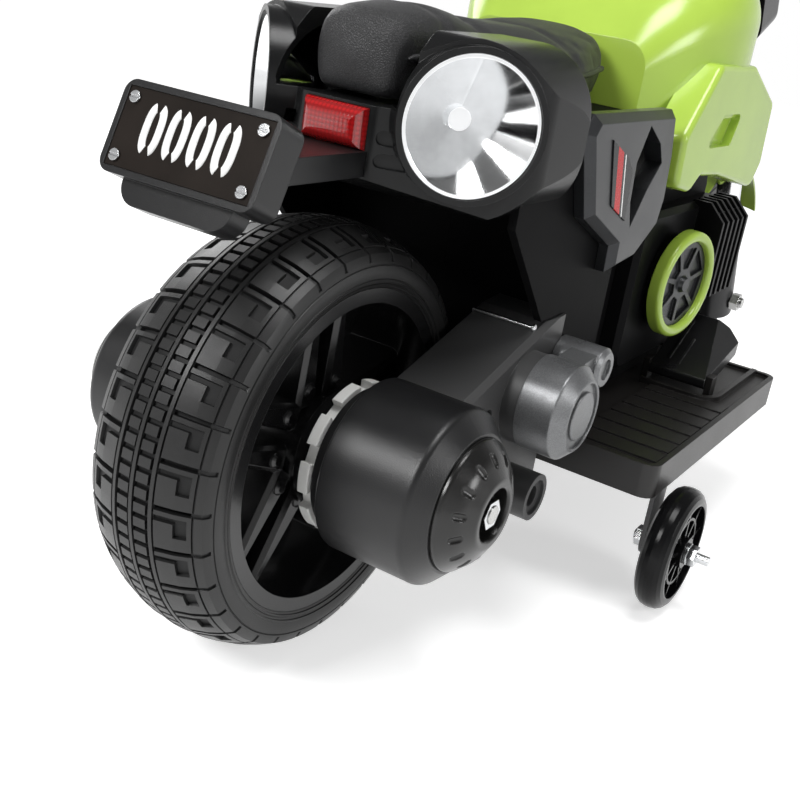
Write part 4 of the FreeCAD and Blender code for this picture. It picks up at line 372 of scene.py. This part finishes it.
def pin_points(side):
    """Grid of a cross pin: circles along the bike's width, thin over the arm and swelling to a domed
    head."""
    turn = np.linspace(0, 2 * math.pi, 20, endpoint=False)
    x = pin_place[0] + pin_radius[:, None] * np.cos(turn)
    z = pin_place[1] + pin_radius[:, None] * np.sin(turn)
    return np.stack([x, np.broadcast_to(side * pin_run[:, None], x.shape), z], axis=-1)


for side, word in ((1, "left"), (-1, "right")):
    pin = surface("arm_pin_" + word, pin_points(side), wrap_columns=True, turned=side > 0, capped=True)
    pin.data.set_sharp_from_angle(angle=math.radians(40))
    pin.data.materials.append(zinc)
    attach(pin, "chassis")


# Body shells. Two black plastic halves, blow moulded and screwed together along the
# middle, which carry the seat, the battery and everything else.
shell_plastic = moulded_plastic("shell_plastic", (0.0055, 0.0055, 0.0058), 0.40, (0.040, 0.040, 0.042),
                                shine=0.012)
dress(shell_plastic, "body_shell_left", "body_shell_right")


# Footboard, accelerator pedal and its switch. The board is one ribbed moulding under the
# body; the pedal hinges on it at the heel and presses the switch with its toe.
board_plastic = moulded_plastic("board_plastic", (0.0115, 0.0105, 0.0100), 0.38, (0.055, 0.053, 0.050),
                                grain=0.45, shine=0.36)
# The pedal's pale corner colour stands in for bright edge highlights along its ribs: painted highlight over
# rubbed wear.
pedal_plastic = moulded_plastic("pedal_plastic", (0.0080, 0.0080, 0.0085), 0.30, (0.34, 0.34, 0.34),
                                round_over=0.0012, shine=0.32)
dress(board_plastic, "footboard", "pedal_switch")
dress(pedal_plastic, "accelerator_pedal")


# Training wheels. Bent steel strap brackets, painted black, bolt under the board and
# carry small hard plastic wheels on bright bolts with lock nuts.
def painted_metal(name, colour, rough, shine=0.5, coat=0.25):
    """Baked paint on metal: a low orange-peel ripple, soft gloss drift and corners rounded over in the
    shading."""
    finish, tree, shader, where = new_finish(name)
    peel = noise(tree, where, 420.0, 2.0)
    patch = noise(tree, where, 30.0, 4.0)
    rounded = put(tree, "Bevel", {"Radius": 0.0006}, samples=4).outputs["Normal"]
    bump = put(tree, "Bump", {"Strength": 0.14, "Distance": 0.0004, "Height": peel, "Normal": rounded})
    pale = tuple(1.5 * part for part in colour)
    fill(tree, shader, {"Base Color": tones(tree, patch, (0.35, colour), (0.75, pale)),
                        "Roughness": spread(tree, patch, 0.3, 0.7, 0.85 * rough, 1.2 * rough),
                        "Normal": bump.outputs["Normal"], "Specular IOR Level": shine, "Coat Weight": coat,
                        "Coat Roughness": 0.15})
    return finish


black_paint = painted_metal("black_paint", (0.011, 0.011, 0.012), 0.33)
wheel_plastic = moulded_plastic("small_wheel_plastic", (0.0050, 0.0050, 0.0054), 0.20, (0.06, 0.06, 0.06),
                                grain=0.10, shine=0.14)
dress(black_paint, "training_bracket_left", "training_bracket_right")
dress(wheel_plastic, "training_wheel_left", "training_wheel_right")
dress(zinc, "training_bolts")


# Tail. A black plastic cowl clips over the end of the body and holds the red lamp, two
# chromed cone ends and the holder of the number plate, an enamelled sheet on four screws.
def red_lens_plastic(name, colour, rough):
    """Clear red moulded lens: light goes into it, and small pyramids on its inside break up the shine. The
    red is painted darker towards each pyramid's edge, as painted shade on the facets.
    """
    finish, tree, shader, where = new_finish(name)
    cells = put(tree, "TexVoronoi", {"Vector": where, "Scale": 330.0, "Randomness": 0.0}).outputs["Distance"]
    patch = noise(tree, where, 40.0)
    deep = tuple(0.55 * part for part in colour)
    bump = put(tree, "Bump", {"Strength": 0.30, "Distance": 0.0006, "Height": cells})
    # Darker towards each cell's edge: painted shade on the pyramid facets.
    fill(tree, shader, {"Base Color": tones(tree, cells, (0.15, colour), (0.60, deep)),
                        "Roughness": spread(tree, patch, 0.3, 0.7, 0.8 * rough, 1.3 * rough),
                        "Normal": bump.outputs["Normal"], "Transmission Weight": 0.25, "Coat Weight": 0.8,
                        "Coat Roughness": 0.04})
    return finish


tail_plastic = moulded_plastic("tail_plastic", (0.0085, 0.0087, 0.0090), 0.24, (0.070, 0.072, 0.075),
                               shine=0.22)
red_lens = red_lens_plastic("red_lens", (0.55, 0.012, 0.014), 0.12)
chrome = bright_plate("bright_chrome", (0.86, 0.87, 0.88), 0.09)
black_plastic = moulded_plastic("black_plastic", (0.0085, 0.0085, 0.0090), 0.30, (0.050, 0.050, 0.052),
                                shine=0.34)
dress(tail_plastic, "tail_cowl")
dress(red_lens, "tail_lamp")
dress(chrome, "exhaust_tips")
dress(black_plastic, "plate_holder")
dress(zinc, "plate_screws")
dress(painted_metal("plate_enamel", (0.011, 0.0085, 0.0070), 0.40, shine=0.05, coat=0.0), "number_plate")


# Figures on the number plate. Four plain stencilled noughts in white, each in two
# half rings, that stand a hair proud of the plate.
plate_origin = np.array([-0.493, 0.0, 0.331])
plate_out = np.array([-0.9205, 0.0, 0.3907])
plate_up = np.array([0.3907, 0.0, 0.9205])
plate_thick = 0.0015
figure_size = (0.0074, 0.0150)
figure_stroke = 0.0050
figure_rise = 0.0004
figure_sink = 0.0002
figure_swing = 0.40 * math.pi
figure_square = 0.75
figure_pitch = 0.0176
figure_middle = 0.0250


def half_ring(across, side):
    """One half of a stencilled nought: a flat-topped strip carried along half of a squared oval, from just
    past the bottom to just short of the top. Rows go along the half oval and columns round the strip."""
    swing = np.linspace(-figure_swing, figure_swing, 25)
    bend = np.cos(swing) ** figure_square
    climb = np.sign(swing) * np.abs(np.sin(swing)) ** figure_square
    path = np.stack([bend, climb], axis=1)
    outer = np.array(figure_size) * path
    inner = (np.array(figure_size) - figure_stroke) * path
    flat = np.stack([inner, outer, outer, inner], axis=1)
    rise = plate_thick + np.array([-figure_sink, -figure_sink, figure_rise, figure_rise])
    width = across + side * flat[..., 0]
    height = figure_middle + flat[..., 1]
    return (plate_origin + plate_out * rise[None, :, None] + plate_up * height[..., None]
            + np.array([0.0, 1.0, 0.0]) * width[..., None])


white_ink = moulded_plastic("white_enamel", (0.80, 0.80, 0.79), 0.36, (0.86, 0.86, 0.85), grain=0.15,
                            round_over=0.0002)
for index in range(4):
    for side, letter in ((-1, "a"), (1, "b")):
        ring = half_ring((index - 1.5) * figure_pitch, side)
        figure = surface("plate_figure_%d%s" % (index + 1, letter), ring, wrap_columns=True, turned=side < 0,
                         capped=True)
        figure.data.materials.append(white_ink)
        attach(figure, "chassis")


# Side panels and their inserts. Grey V-shaped mouldings screwed over the body under the
# seat, each with a black insert that is pad printed with a red band and a thin white line.
band_run = (0.943, 0.333)


def striped_plastic():
    """Glossy black insert with two printed bands: the distance across the bands, read along one slanted
    direction, picks red, then black, then a thin white line, and the ink edges waver a little."""
    finish, tree, shader, where = new_finish("striped_plastic")
    low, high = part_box("side_inserts")
    ragged = noise(tree, where, 700.0)
    across = put(tree, "VectorMath", {0: where, 1: (band_run[0], 0.0, band_run[1])}, operation="DOT_PRODUCT")
    start = band_run[0] * low[0] + band_run[1] * high[2]
    end = band_run[0] * high[0] + band_run[1] * low[2]
    share = spread(tree, across.outputs["Value"], start, end, 0.0, 1.0)
    share = reckon(tree, "MULTIPLY_ADD", ragged, 0.010, share)
    black, red, white = (0.008, 0.008, 0.009), (0.47, 0.012, 0.014), (0.78, 0.78, 0.77)
    ramp = tones(tree, share, (0.0, black), (0.30, red), (0.62, black), (0.72, white), (0.78, black))
    ramp.node.color_ramp.interpolation = "CONSTANT"
    rounded = put(tree, "Bevel", {"Radius": 0.0008}, samples=4).outputs["Normal"]
    bump = put(tree, "Bump", {"Strength": 0.08, "Distance": 0.0002, "Height": ragged, "Normal": rounded})
    fill(tree, shader, {"Base Color": ramp, "Normal": bump.outputs["Normal"], "Specular IOR Level": 0.18,
                        "Roughness": spread(tree, ragged, 0.3, 0.7, 0.20, 0.30)})
    return finish


side_plastic = pewter_plastic("panel_plastic", (0.024, 0.025, 0.027), 0.32)
dress(side_plastic, "side_panel_left", "side_panel_right")
dress(striped_plastic(), "side_inserts")


# Tank cover, dash panel and its switches. The tank is one lime-green moulding, glossy,
# over the body; the black dash on top of it holds two rockers and the horn button.
lime_plastic = moulded_plastic("lime_plastic", (0.36, 0.52, 0.070), 0.22, (0.50, 0.66, 0.18), grain=0.08)
switch_plastic = moulded_plastic("switch_plastic", (0.020, 0.020, 0.021), 0.30, (0.12, 0.12, 0.12))
dress(lime_plastic, "tank_cover")
dress(black_plastic, "dash_panel")
dress(switch_plastic, "power_switch", "direction_switch")
dress(moulded_plastic("red_button_plastic", (0.42, 0.012, 0.014), 0.28, (0.60, 0.10, 0.10)), "horn_button")


# Engine blocks, clutch discs and rings. Hollow finned mouldings that copy an engine, with
# a dark spoked disc and a lime ring snapped to the outer side of each.
engine_plastic = moulded_plastic("engine_plastic", (0.0050, 0.0050, 0.0054), 0.36, (0.050, 0.050, 0.052),
                                 shine=0.04)
dress(engine_plastic, "engine_block_left", "engine_block_right")
dress(pewter_plastic("clutch_plastic", (0.024, 0.025, 0.027), 0.30), "clutch_discs")
dress(lime_plastic, "clutch_rings")


# Battery, control box and charge inlet. They sit inside the body; only the inlet's collar
# shows, on the left side.
dress(moulded_plastic("battery_plastic", (0.020, 0.020, 0.022), 0.45, (0.09, 0.09, 0.09)), "battery")
dress(moulded_plastic("box_plastic", (0.018, 0.018, 0.019), 0.40, (0.09, 0.09, 0.09)), "control_box")
dress(switch_plastic, "charge_socket")


# Seat. A foam pad in black vinyl, pulled down along sewn channels and stapled to its base,
# with a piped seam along each side.
seat_base = 0.3754
seat_places = np.array([0.014, 0.072, 0.130, 0.214, 0.298]) - axle_reach
seat_halves = 0.070 * np.array([0.50, 0.57, 0.64, 1.0, 0.74])
seat_heights = 0.062 * np.array([0.92, 1.0, 0.84, 0.80, 0.98])
seat_section = np.array([[0, 0], [0.62, 0.0], [0.86, 0.03], [0.97, 0.30], [1.0, 0.52], [0.94, 0.74],
                         [0.80, 0.89], [0.45, 0.98]])
seat_shrink = 0.0025
seat_end = 0.055
seat_pinch = 0.55
seat_tip = 0.02
seat_middle = 0.45
seat_grid = 0.005
seat_held = 0.009
seat_gap = 0.0003
seat_crown = 0.020
seat_push = 4.0
seat_frames = 20
seat_give = 0.006
channel_reach = 0.0045
channel_depth = 0.0026
channel_foot = 0.012
channel_fade = 0.018


def eased(places, values, at):
    """Values read between given places along a smooth curve whose slope at each place is the mean of its
    two runs."""
    slopes = np.gradient(values, places)
    index = np.clip(np.searchsorted(places, at) - 1, 0, len(places) - 2)
    run = places[index + 1] - places[index]
    share = (at - places[index]) / run
    a = 2 * share ** 3 - 3 * share ** 2 + 1
    b = share ** 3 - 2 * share ** 2 + share
    c = share ** 3 - share ** 2
    before = a * values[index] + b * run * slopes[index]
    return before + (1 - a) * values[index + 1] + c * run * slopes[index + 1]


def seat_points():
    """Grid of the pad: the section's outline, rounded from its corner points, carried along the seat and
    scaled to the width and height there, and drawn in to a rounded end at the front and back."""
    along = np.linspace(0, 1, 73)
    place = seat_places[0] + (seat_places[-1] - seat_places[0]) * along
    half = eased(seat_places, seat_halves, place) - seat_shrink
    height = eased(seat_places, seat_heights, place) - 2 * seat_shrink
    ends = np.clip(np.minimum(along, 1 - along) / seat_end, 0, 1)
    pinch = seat_pinch + (1 - seat_pinch) * np.sqrt(1 - (1 - ends) ** 2)
    pinch[[0, -1]] = seat_tip
    loop = np.concatenate([seat_section, [[0, 1.0]], seat_section[:0:-1] * [-1, 1]])
    knots = np.arange(-3, len(loop) + 4)
    round_at = np.linspace(0, len(loop), 96, endpoint=False)
    across = eased(knots, loop[knots % len(loop), 0], round_at)
    up = eased(knots, loop[knots % len(loop), 1], round_at)
    y = half[:, None] * pinch[:, None] * across
    z = seat_base + seat_shrink + height[:, None] * (seat_middle + (up - seat_middle) * pinch[:, None])
    return np.stack([np.broadcast_to(place[:, None], y.shape), y, z], axis=-1)


def read_points(mesh):
    """All the points of a mesh as one array."""
    points = np.empty(len(mesh.vertices) * 3)
    mesh.vertices.foreach_get("co", points)
    return points.reshape(-1, 3)


def settled(piece):
    """The mesh of a piece as its modifiers leave it."""
    bpy.context.view_layer.update()
    return bpy.data.meshes.new_from_object(piece.evaluated_get(bpy.context.evaluated_depsgraph_get()))


def puffed(piece, pressure, frames, cap, pinned):
    """The pad blown up as cloth: even pressure from inside, held where pinned, with no weight, and no point
    let further than the cap from where it began."""
    start = read_points(piece.data)
    held = piece.vertex_groups.new(name="held")
    held.add(np.flatnonzero(pinned(start)).tolist(), 1.0, "REPLACE")
    cloth = piece.modifiers.new("cloth", "CLOTH")
    cloth.settings.quality = 6
    cloth.settings.mass = 0.25
    cloth.settings.tension_stiffness = 12
    cloth.settings.compression_stiffness = 12
    cloth.settings.bending_stiffness = 0.4
    cloth.settings.use_pressure = True
    cloth.settings.uniform_pressure_force = pressure
    cloth.settings.vertex_group_mass = "held"
    cloth.settings.effector_weights.gravity = 0
    for step in range(1, frames + 1):
        bpy.context.scene.frame_set(step)
    moved = read_points(settled(piece)) - start
    piece.modifiers.remove(cloth)
    bpy.context.scene.frame_set(1)
    far = np.linalg.norm(moved, axis=1, keepdims=True)
    return start + moved * np.minimum(1, cap / np.maximum(far, 1e-9))


def grained_vinyl(name, colour):
    """Coated seat cloth: a pebbled leather grain with finer creases, painted darker in the hollows as
    painted shade and lighter on the raised grain as painted sheen over rubbed wear."""
    finish, tree, shader, where = new_finish(name)
    pebble = put(tree, "TexVoronoi", {"Vector": where, "Scale": 620.0}, feature="DISTANCE_TO_EDGE")
    pebble = spread(tree, pebble.outputs["Distance"], 0.0, 0.25, 0.0, 1.0)
    crease = noise(tree, where, 900.0, 5.0, 0.65)
    patch = noise(tree, where, 22.0, 4.0)
    skin = reckon(tree, "MULTIPLY_ADD", pebble, 0.75, crease)
    bump = put(tree, "Bump", {"Strength": 0.45, "Distance": 0.0005, "Height": skin})
    # The colour follows the grain: painted shade in the hollows, painted sheen with rubbed wear on the tops.
    rubbed_and_sheen = tuple(1.7 * part for part in colour)
    deep = tuple(0.7 * part for part in colour)
    fill(tree, shader, {"Base Color": tones(tree, skin, (0.35, deep), (0.7, colour), (1.0, rubbed_and_sheen)),
                        "Roughness": spread(tree, patch, 0.3, 0.7, 0.38, 0.55),
                        "Normal": bump.outputs["Normal"], "Specular IOR Level": 0.36, "Sheen Weight": 0.05,
                        "Sheen Roughness": 0.4})
    return finish


vinyl = grained_vinyl("seat_vinyl", (0.0115, 0.0115, 0.0122))
seat = surface("seat_pad", seat_points(), wrap_columns=True)
remesh = seat.modifiers.new("even", "REMESH")
remesh.mode = "VOXEL"
remesh.voxel_size = seat_grid
even = settled(seat)
seat.modifiers.remove(remesh)
seat.data = even
pad = puffed(seat, seat_push, seat_frames, seat_give, lambda points: points[:, 2] < seat_base + seat_held)
pad[:, 2] = np.maximum(pad[:, 2], seat_base + seat_gap)
for place in seat_places[1:-1]:
    top = np.clip((pad[:, 2] - seat_base - channel_foot) / channel_fade, 0, 1)
    sink = channel_depth * np.exp(-((pad[:, 0] - place) / channel_reach) ** 2) * top
    reach = np.stack([np.zeros(len(pad)), pad[:, 1], pad[:, 2] - seat_base - seat_crown], axis=1)
    pad -= reach / np.linalg.norm(reach, axis=1, keepdims=True) * sink[:, None]
seat.data.vertices.foreach_set("co", pad.ravel())
seat.data.update()
seat.data.shade_smooth()
finer = seat.modifiers.new("finer", "SUBSURF")
finer.levels = 1
finer.render_levels = 1
seat.data.materials.append(vinyl)
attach(seat, "chassis")
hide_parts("seat")

piping_radius = 0.0024
piping_rise = 0.50
piping_ends = (0.05, 0.95)
piping_taper = 0.02
piping_reach = 0.5
piping_smooth = 17


def piping_points(side):
    """Grid of a round cord of vinyl sewn along one side of the pad: circles carried along the pad's own
    flank, at a set share of its height, and shrunk to a point at both ends."""
    along = np.linspace(*piping_ends, 91)
    place = seat_places[0] + (seat_places[-1] - seat_places[0]) * along
    level = seat_base + piping_rise * eased(seat_places, seat_heights, place)
    flank = pad[pad[:, 1] * side > 0]
    along_gap = (flank[None, :, 0] - place[:, None]) / piping_reach
    nearest = np.argmin(along_gap ** 2 + (flank[None, :, 2] - level[:, None]) ** 2, axis=1)
    reach = np.pad(np.abs(flank[nearest, 1]), piping_smooth // 2, mode="edge")
    reach = np.convolve(reach, np.full(piping_smooth, 1 / piping_smooth), mode="valid")
    short = np.minimum(along - piping_ends[0], piping_ends[1] - along)
    thick = piping_radius * np.sqrt(np.clip(short / piping_taper, 0.02, 1))
    turn = np.linspace(0, 2 * math.pi, 12, endpoint=False)
    y = side * (reach[:, None] + thick[:, None] * np.cos(turn))
    z = level[:, None] + thick[:, None] * np.sin(turn)
    return np.stack([np.broadcast_to(place[:, None], y.shape), y, z], axis=-1)


for side, word in ((1, "left"), (-1, "right")):
    piping = surface("seat_piping_" + word, piping_points(side), wrap_columns=True, turned=side < 0,
                     capped=True)
    piping.data.materials.append(vinyl)
    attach(piping, "chassis")


# Steering head and fork. A steel stem turns in the body; two tubes run down from the
# yoke, bright above and sleeved in black plastic below, and hold the front axle.
head_place = (0.2106, 0.0, 0.4119)
head_axis = (-0.4067366, 0.0, 0.9135455)
sleeve_top = -0.180
sleeve_edge = 0.0003


def fork_finish():
    """Fork legs in one finish: bright plated tube above the sleeve's top edge, black plastic sleeve below
    it, told apart by the height along the steering axis."""
    finish, tree, shader, where = new_finish("fork_finish")
    lift = put(tree, "VectorMath", {0: where, 1: head_place}, operation="SUBTRACT").outputs["Vector"]
    height = put(tree, "VectorMath", {0: lift, 1: head_axis}, operation="DOT_PRODUCT").outputs["Value"]
    tube = spread(tree, height, sleeve_top - sleeve_edge, sleeve_top + sleeve_edge, 0.0, 1.0)
    haze = noise(tree, where, 50.0, 4.0)
    fine = noise(tree, where, 1500.0)
    haze = spread(tree, haze, 0.3, 0.7, 0.0, 0.2)
    mixed = reckon(tree, "MULTIPLY_ADD", tube, 0.8, haze)
    rounded = put(tree, "Bevel", {"Radius": 0.0008}, samples=4).outputs["Normal"]
    bump = put(tree, "Bump", {"Strength": 0.12, "Distance": 0.0002, "Height": fine, "Normal": rounded})
    colour = tones(tree, mixed, (0.0, (0.011, 0.011, 0.012)), (0.2, (0.018, 0.018, 0.019)),
                   (0.5, (0.02, 0.02, 0.02)), (0.79, (0.70, 0.71, 0.72)), (1.0, (0.86, 0.87, 0.88)))
    fill(tree, shader, {"Base Color": colour, "Metallic": tube, "Normal": bump.outputs["Normal"],
                        "Roughness": spread(tree, mixed, 0.15, 0.85, 0.33, 0.10)})
    return finish


dress(steel, "steering_stem", "front_axle")
dress(fork_finish(), "fork_legs")
dress(lime_plastic, "front_mudguard")


# Handlebar, grips and mirrors. A bent steel tube, painted black, in the top yoke, with
# soft black grips pushed on; the mirrors are black shells on stalks with silvered plates.
def grip_rubber():
    """Soft black rubber with fine rings moulded round it and a dull, slightly chalky bloom."""
    finish, tree, shader, where = new_finish("grip_rubber")
    rings = put(tree, "TexWave", {"Vector": where, "Scale": 95.0}, bands_direction="Y").outputs["Fac"]
    bloom = noise(tree, where, 70.0, 5.0)
    bump = put(tree, "Bump", {"Strength": 0.5, "Distance": 0.0009, "Height": rings})
    colour = tones(tree, bloom, (0.3, (0.012, 0.012, 0.012)), (0.75, (0.030, 0.030, 0.031)))
    fill(tree, shader, {"Base Color": colour, "Roughness": spread(tree, bloom, 0.3, 0.7, 0.62, 0.80),
                        "Normal": bump.outputs["Normal"]})
    return finish


dress(black_paint, "handlebar")
dress(grip_rubber(), "grips")
dress(black_plastic, "mirror_left", "mirror_right")

mirror_reach = 0.178
mirror_lift = 0.282
mirror_half = (0.0375, 0.0195)
mirror_floor = 0.0065
mirror_gap = 0.0003
mirror_bow = 0.0010
mirror_corner = 0.16
mirror_thick = 0.0006


def mirror_points(side):
    """Grid of a silvered plate: a square run of two shares pressed to a round-cornered oblong, bowed a
    little outwards in the middle, laid in the recess and turned with the steering head."""
    share = np.linspace(-1, 1, 33)
    u, v = np.meshgrid(share, share, indexing="ij")
    across = mirror_half[0] * u * np.sqrt(1 - mirror_corner * v ** 2)
    up = mirror_half[1] * v * np.sqrt(1 - mirror_corner * u ** 2)
    out = mirror_floor + mirror_gap + mirror_bow * (1 - u ** 2) * (1 - v ** 2)
    ahead = np.array([head_axis[2], 0.0, -head_axis[0]])
    lift = np.array(head_axis) * (mirror_lift + up)[..., None]
    beside = np.array([0.0, 1.0, 0.0]) * (side * mirror_reach + across)[..., None]
    return np.array(head_place) - ahead * out[..., None] + lift + beside


silver = bright_plate("silvered_plate", (0.90, 0.91, 0.92), 0.03)
for side, word in ((1, "left"), (-1, "right")):
    plate = surface("mirror_plate_" + word, mirror_points(side), turned=True)
    wall = plate.modifiers.new("wall", "SOLIDIFY")
    wall.thickness = mirror_thick
    wall.offset = 1
    plate.data.materials.append(silver)
    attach(plate, word + "_mirror")


# Headlamp and screen. A black shell bolted to the yoke holds a clear fluted lens, and a
# smoked screen of thin sheet stands above it.
def fluted_lens():
    """Clear lamp lens over a silvered bowl: upright flutes break up the shine, and the bowl's look is
    painted on the lens as pale silver, a painted reflection, made lighter and darker across the flutes as
    painted light."""
    finish, tree, shader, where = new_finish("fluted_lens")
    flutes = put(tree, "TexWave", {"Vector": where, "Scale": 34.0}, bands_direction="Y").outputs["Fac"]
    haze = noise(tree, where, 45.0, 4.0)
    bump = put(tree, "Bump", {"Strength": 0.55, "Distance": 0.0012, "Height": flutes})
    # Pale silver striped with the flutes: painted reflection of the bowl and painted light across the
    # flutes.
    colour = tones(tree, flutes, (0.1, (0.62, 0.64, 0.66)), (0.9, (0.86, 0.87, 0.88)))
    fill(tree, shader, {"Base Color": colour, "Roughness": spread(tree, haze, 0.3, 0.7, 0.06, 0.14),
                        "Normal": bump.outputs["Normal"], "Metallic": 0.35, "Coat Weight": 1.0,
                        "Coat Roughness": 0.03})
    return finish


def smoked_sheet():
    """Smoked clear sheet: light passes through it darkened, with faint ripples and hairline rubbing."""
    finish, tree, shader, where = new_finish("smoked_sheet")
    ripple = noise(tree, where, 12.0)
    rubbed_and_sheen = noise(tree, where, 300.0, 6.0, 0.7)
    bump = put(tree, "Bump", {"Strength": 0.05, "Distance": 0.001, "Height": ripple})
    colour = tones(tree, ripple, (0.3, (0.10, 0.11, 0.12)), (0.7, (0.15, 0.16, 0.17)))
    fill(tree, shader, {"Base Color": colour, "Roughness": spread(tree, rubbed_and_sheen, 0.4, 0.8, 0.02, 0.10),
                        "Normal": bump.outputs["Normal"], "Transmission Weight": 0.85, "IOR": 1.49})
    return finish


dress(black_plastic, "headlamp")
dress(fluted_lens(), "headlamp_lens")
dress(smoked_sheet(), "windscreen")


# Floor, light and camera. A plain pale floor keeps the bike's shadow and fades to white far
# off; a soft box hangs overhead, others stand behind and at both sides, in a white room.
floor_reach = 6.0
floor_glow = (0.55, 0.72)
glow_reach = (0.9, 3.5)
room_light = 0.38
ceiling_light = 0.16
ceiling_rise = (0.10, 0.55)
floor_run = np.linspace(-floor_reach, floor_reach, 3)
floor_x, floor_y = np.meshgrid(floor_run, floor_run, indexing="ij")
floor = surface("floor", np.stack([floor_x, floor_y, np.zeros_like(floor_x)], axis=-1))

floor_paint, tree, shader, where = new_finish("floor_paint")
seen = put(tree, "LightPath", {})
shown = reckon(tree, "MAXIMUM", seen.outputs["Is Camera Ray"], seen.outputs["Is Glossy Ray"])
shown = reckon(tree, "MAXIMUM", shown, seen.outputs["Is Transmission Ray"])
mottle = noise(tree, where, 3.0)
fill(tree, shader, {"Base Color": tones(tree, mottle, (0.3, (0.80, 0.80, 0.80)), (0.7, (0.82, 0.82, 0.82))),
                    "Roughness": 0.9, "Specular IOR Level": 0.1})
away = put(tree, "VectorMath", {0: where}, operation="LENGTH").outputs["Value"]
lift = spread(tree, away, *glow_reach, *floor_glow)
lift = reckon(tree, "MULTIPLY", shown, lift)
glow = put(tree, "Emission", {"Color": (1, 1, 1, 1), "Strength": lift})
both = put(tree, "AddShader", {0: shader.outputs["BSDF"], 1: glow.outputs["Emission"]})
tree.links.new(both.outputs["Shader"], tree.nodes["Material Output"].inputs["Surface"])
floor.data.materials.append(floor_paint)

room = bpy.data.worlds.new("white_room")
bpy.context.scene.world = room
room.use_nodes = True
tree = room.node_tree
seen = put(tree, "LightPath", {})
height = put(tree, "SeparateXYZ", {"Vector": put(tree, "TexCoord", {}).outputs["Generated"]}).outputs["Z"]
ceiling = spread(tree, height, *ceiling_rise, 1.0, ceiling_light)
straight = reckon(tree, "MAXIMUM", seen.outputs["Is Camera Ray"], seen.outputs["Is Transmission Ray"])
bounced = reckon(tree, "MULTIPLY", seen.outputs["Is Glossy Ray"], ceiling)
shown = reckon(tree, "MAXIMUM", straight, bounced)
soft = spread(tree, seen.outputs["Is Glossy Ray"], 0, 1, room_light, 0)
bright = reckon(tree, "MAXIMUM", shown, soft)
fill(tree, tree.nodes["Background"], {"Color": (1, 1, 1, 1), "Strength": bright})

for name, place, aim, size, power in (("soft_box_over", (-0.35, -0.30, 1.7), (-0.05, 0.0, 0.2), 0.6, 14.0),
                                      ("soft_box_rear", (-1.9, 0.55, 1.5), (-0.30, -0.1, 0.2), 0.7, 34.0),
                                      ("soft_box_right", (-0.1, -1.9, 0.9), (-0.1, 0.0, 0.2), 0.6, 11.0),
                                      ("soft_box_left", (0.5, 2.0, 1.3), (0.0, 0.0, 0.25), 0.9, 14.0)):
    lamp = bpy.data.lights.new(name, "AREA")
    lamp.energy = power
    lamp.size = size
    stand = bpy.data.objects.new(name, lamp)
    bpy.context.scene.collection.objects.link(stand)
    back = np.array(place) - np.array(aim)
    stand.location = place
    stand.rotation_euler = (math.acos(back[2] / np.linalg.norm(back)), 0, math.atan2(back[0], -back[1]))

camera_place = (-0.94568, -0.41807, 0.46080)
camera_turn = math.radians(-60.193)
camera_fall = math.radians(21.067)
camera_roll = math.radians(9.138)
camera = bpy.data.cameras.new("camera")
camera.lens = 50.96
camera.sensor_width = 36.0
eye = bpy.data.objects.new("camera", camera)
bpy.context.scene.collection.objects.link(eye)
level = np.array([math.cos(camera_turn), math.sin(camera_turn), 0.0])
behind = np.array([math.sin(camera_turn), -math.cos(camera_turn), 0.0])
back = math.cos(camera_fall) * behind + math.sin(camera_fall) * np.array([0.0, 0.0, 1.0])
upright = np.cross(back, level)
right = math.cos(camera_roll) * level + math.sin(camera_roll) * upright
upward = math.cos(camera_roll) * upright - math.sin(camera_roll) * level
stance = np.eye(4)
stance[:3] = np.stack([right, upward, back, np.array(camera_place)], axis=1)
eye.matrix_world = stance.T.tolist()
bpy.context.scene.camera = eye
bpy.context.scene.view_settings.view_transform = "Standard"
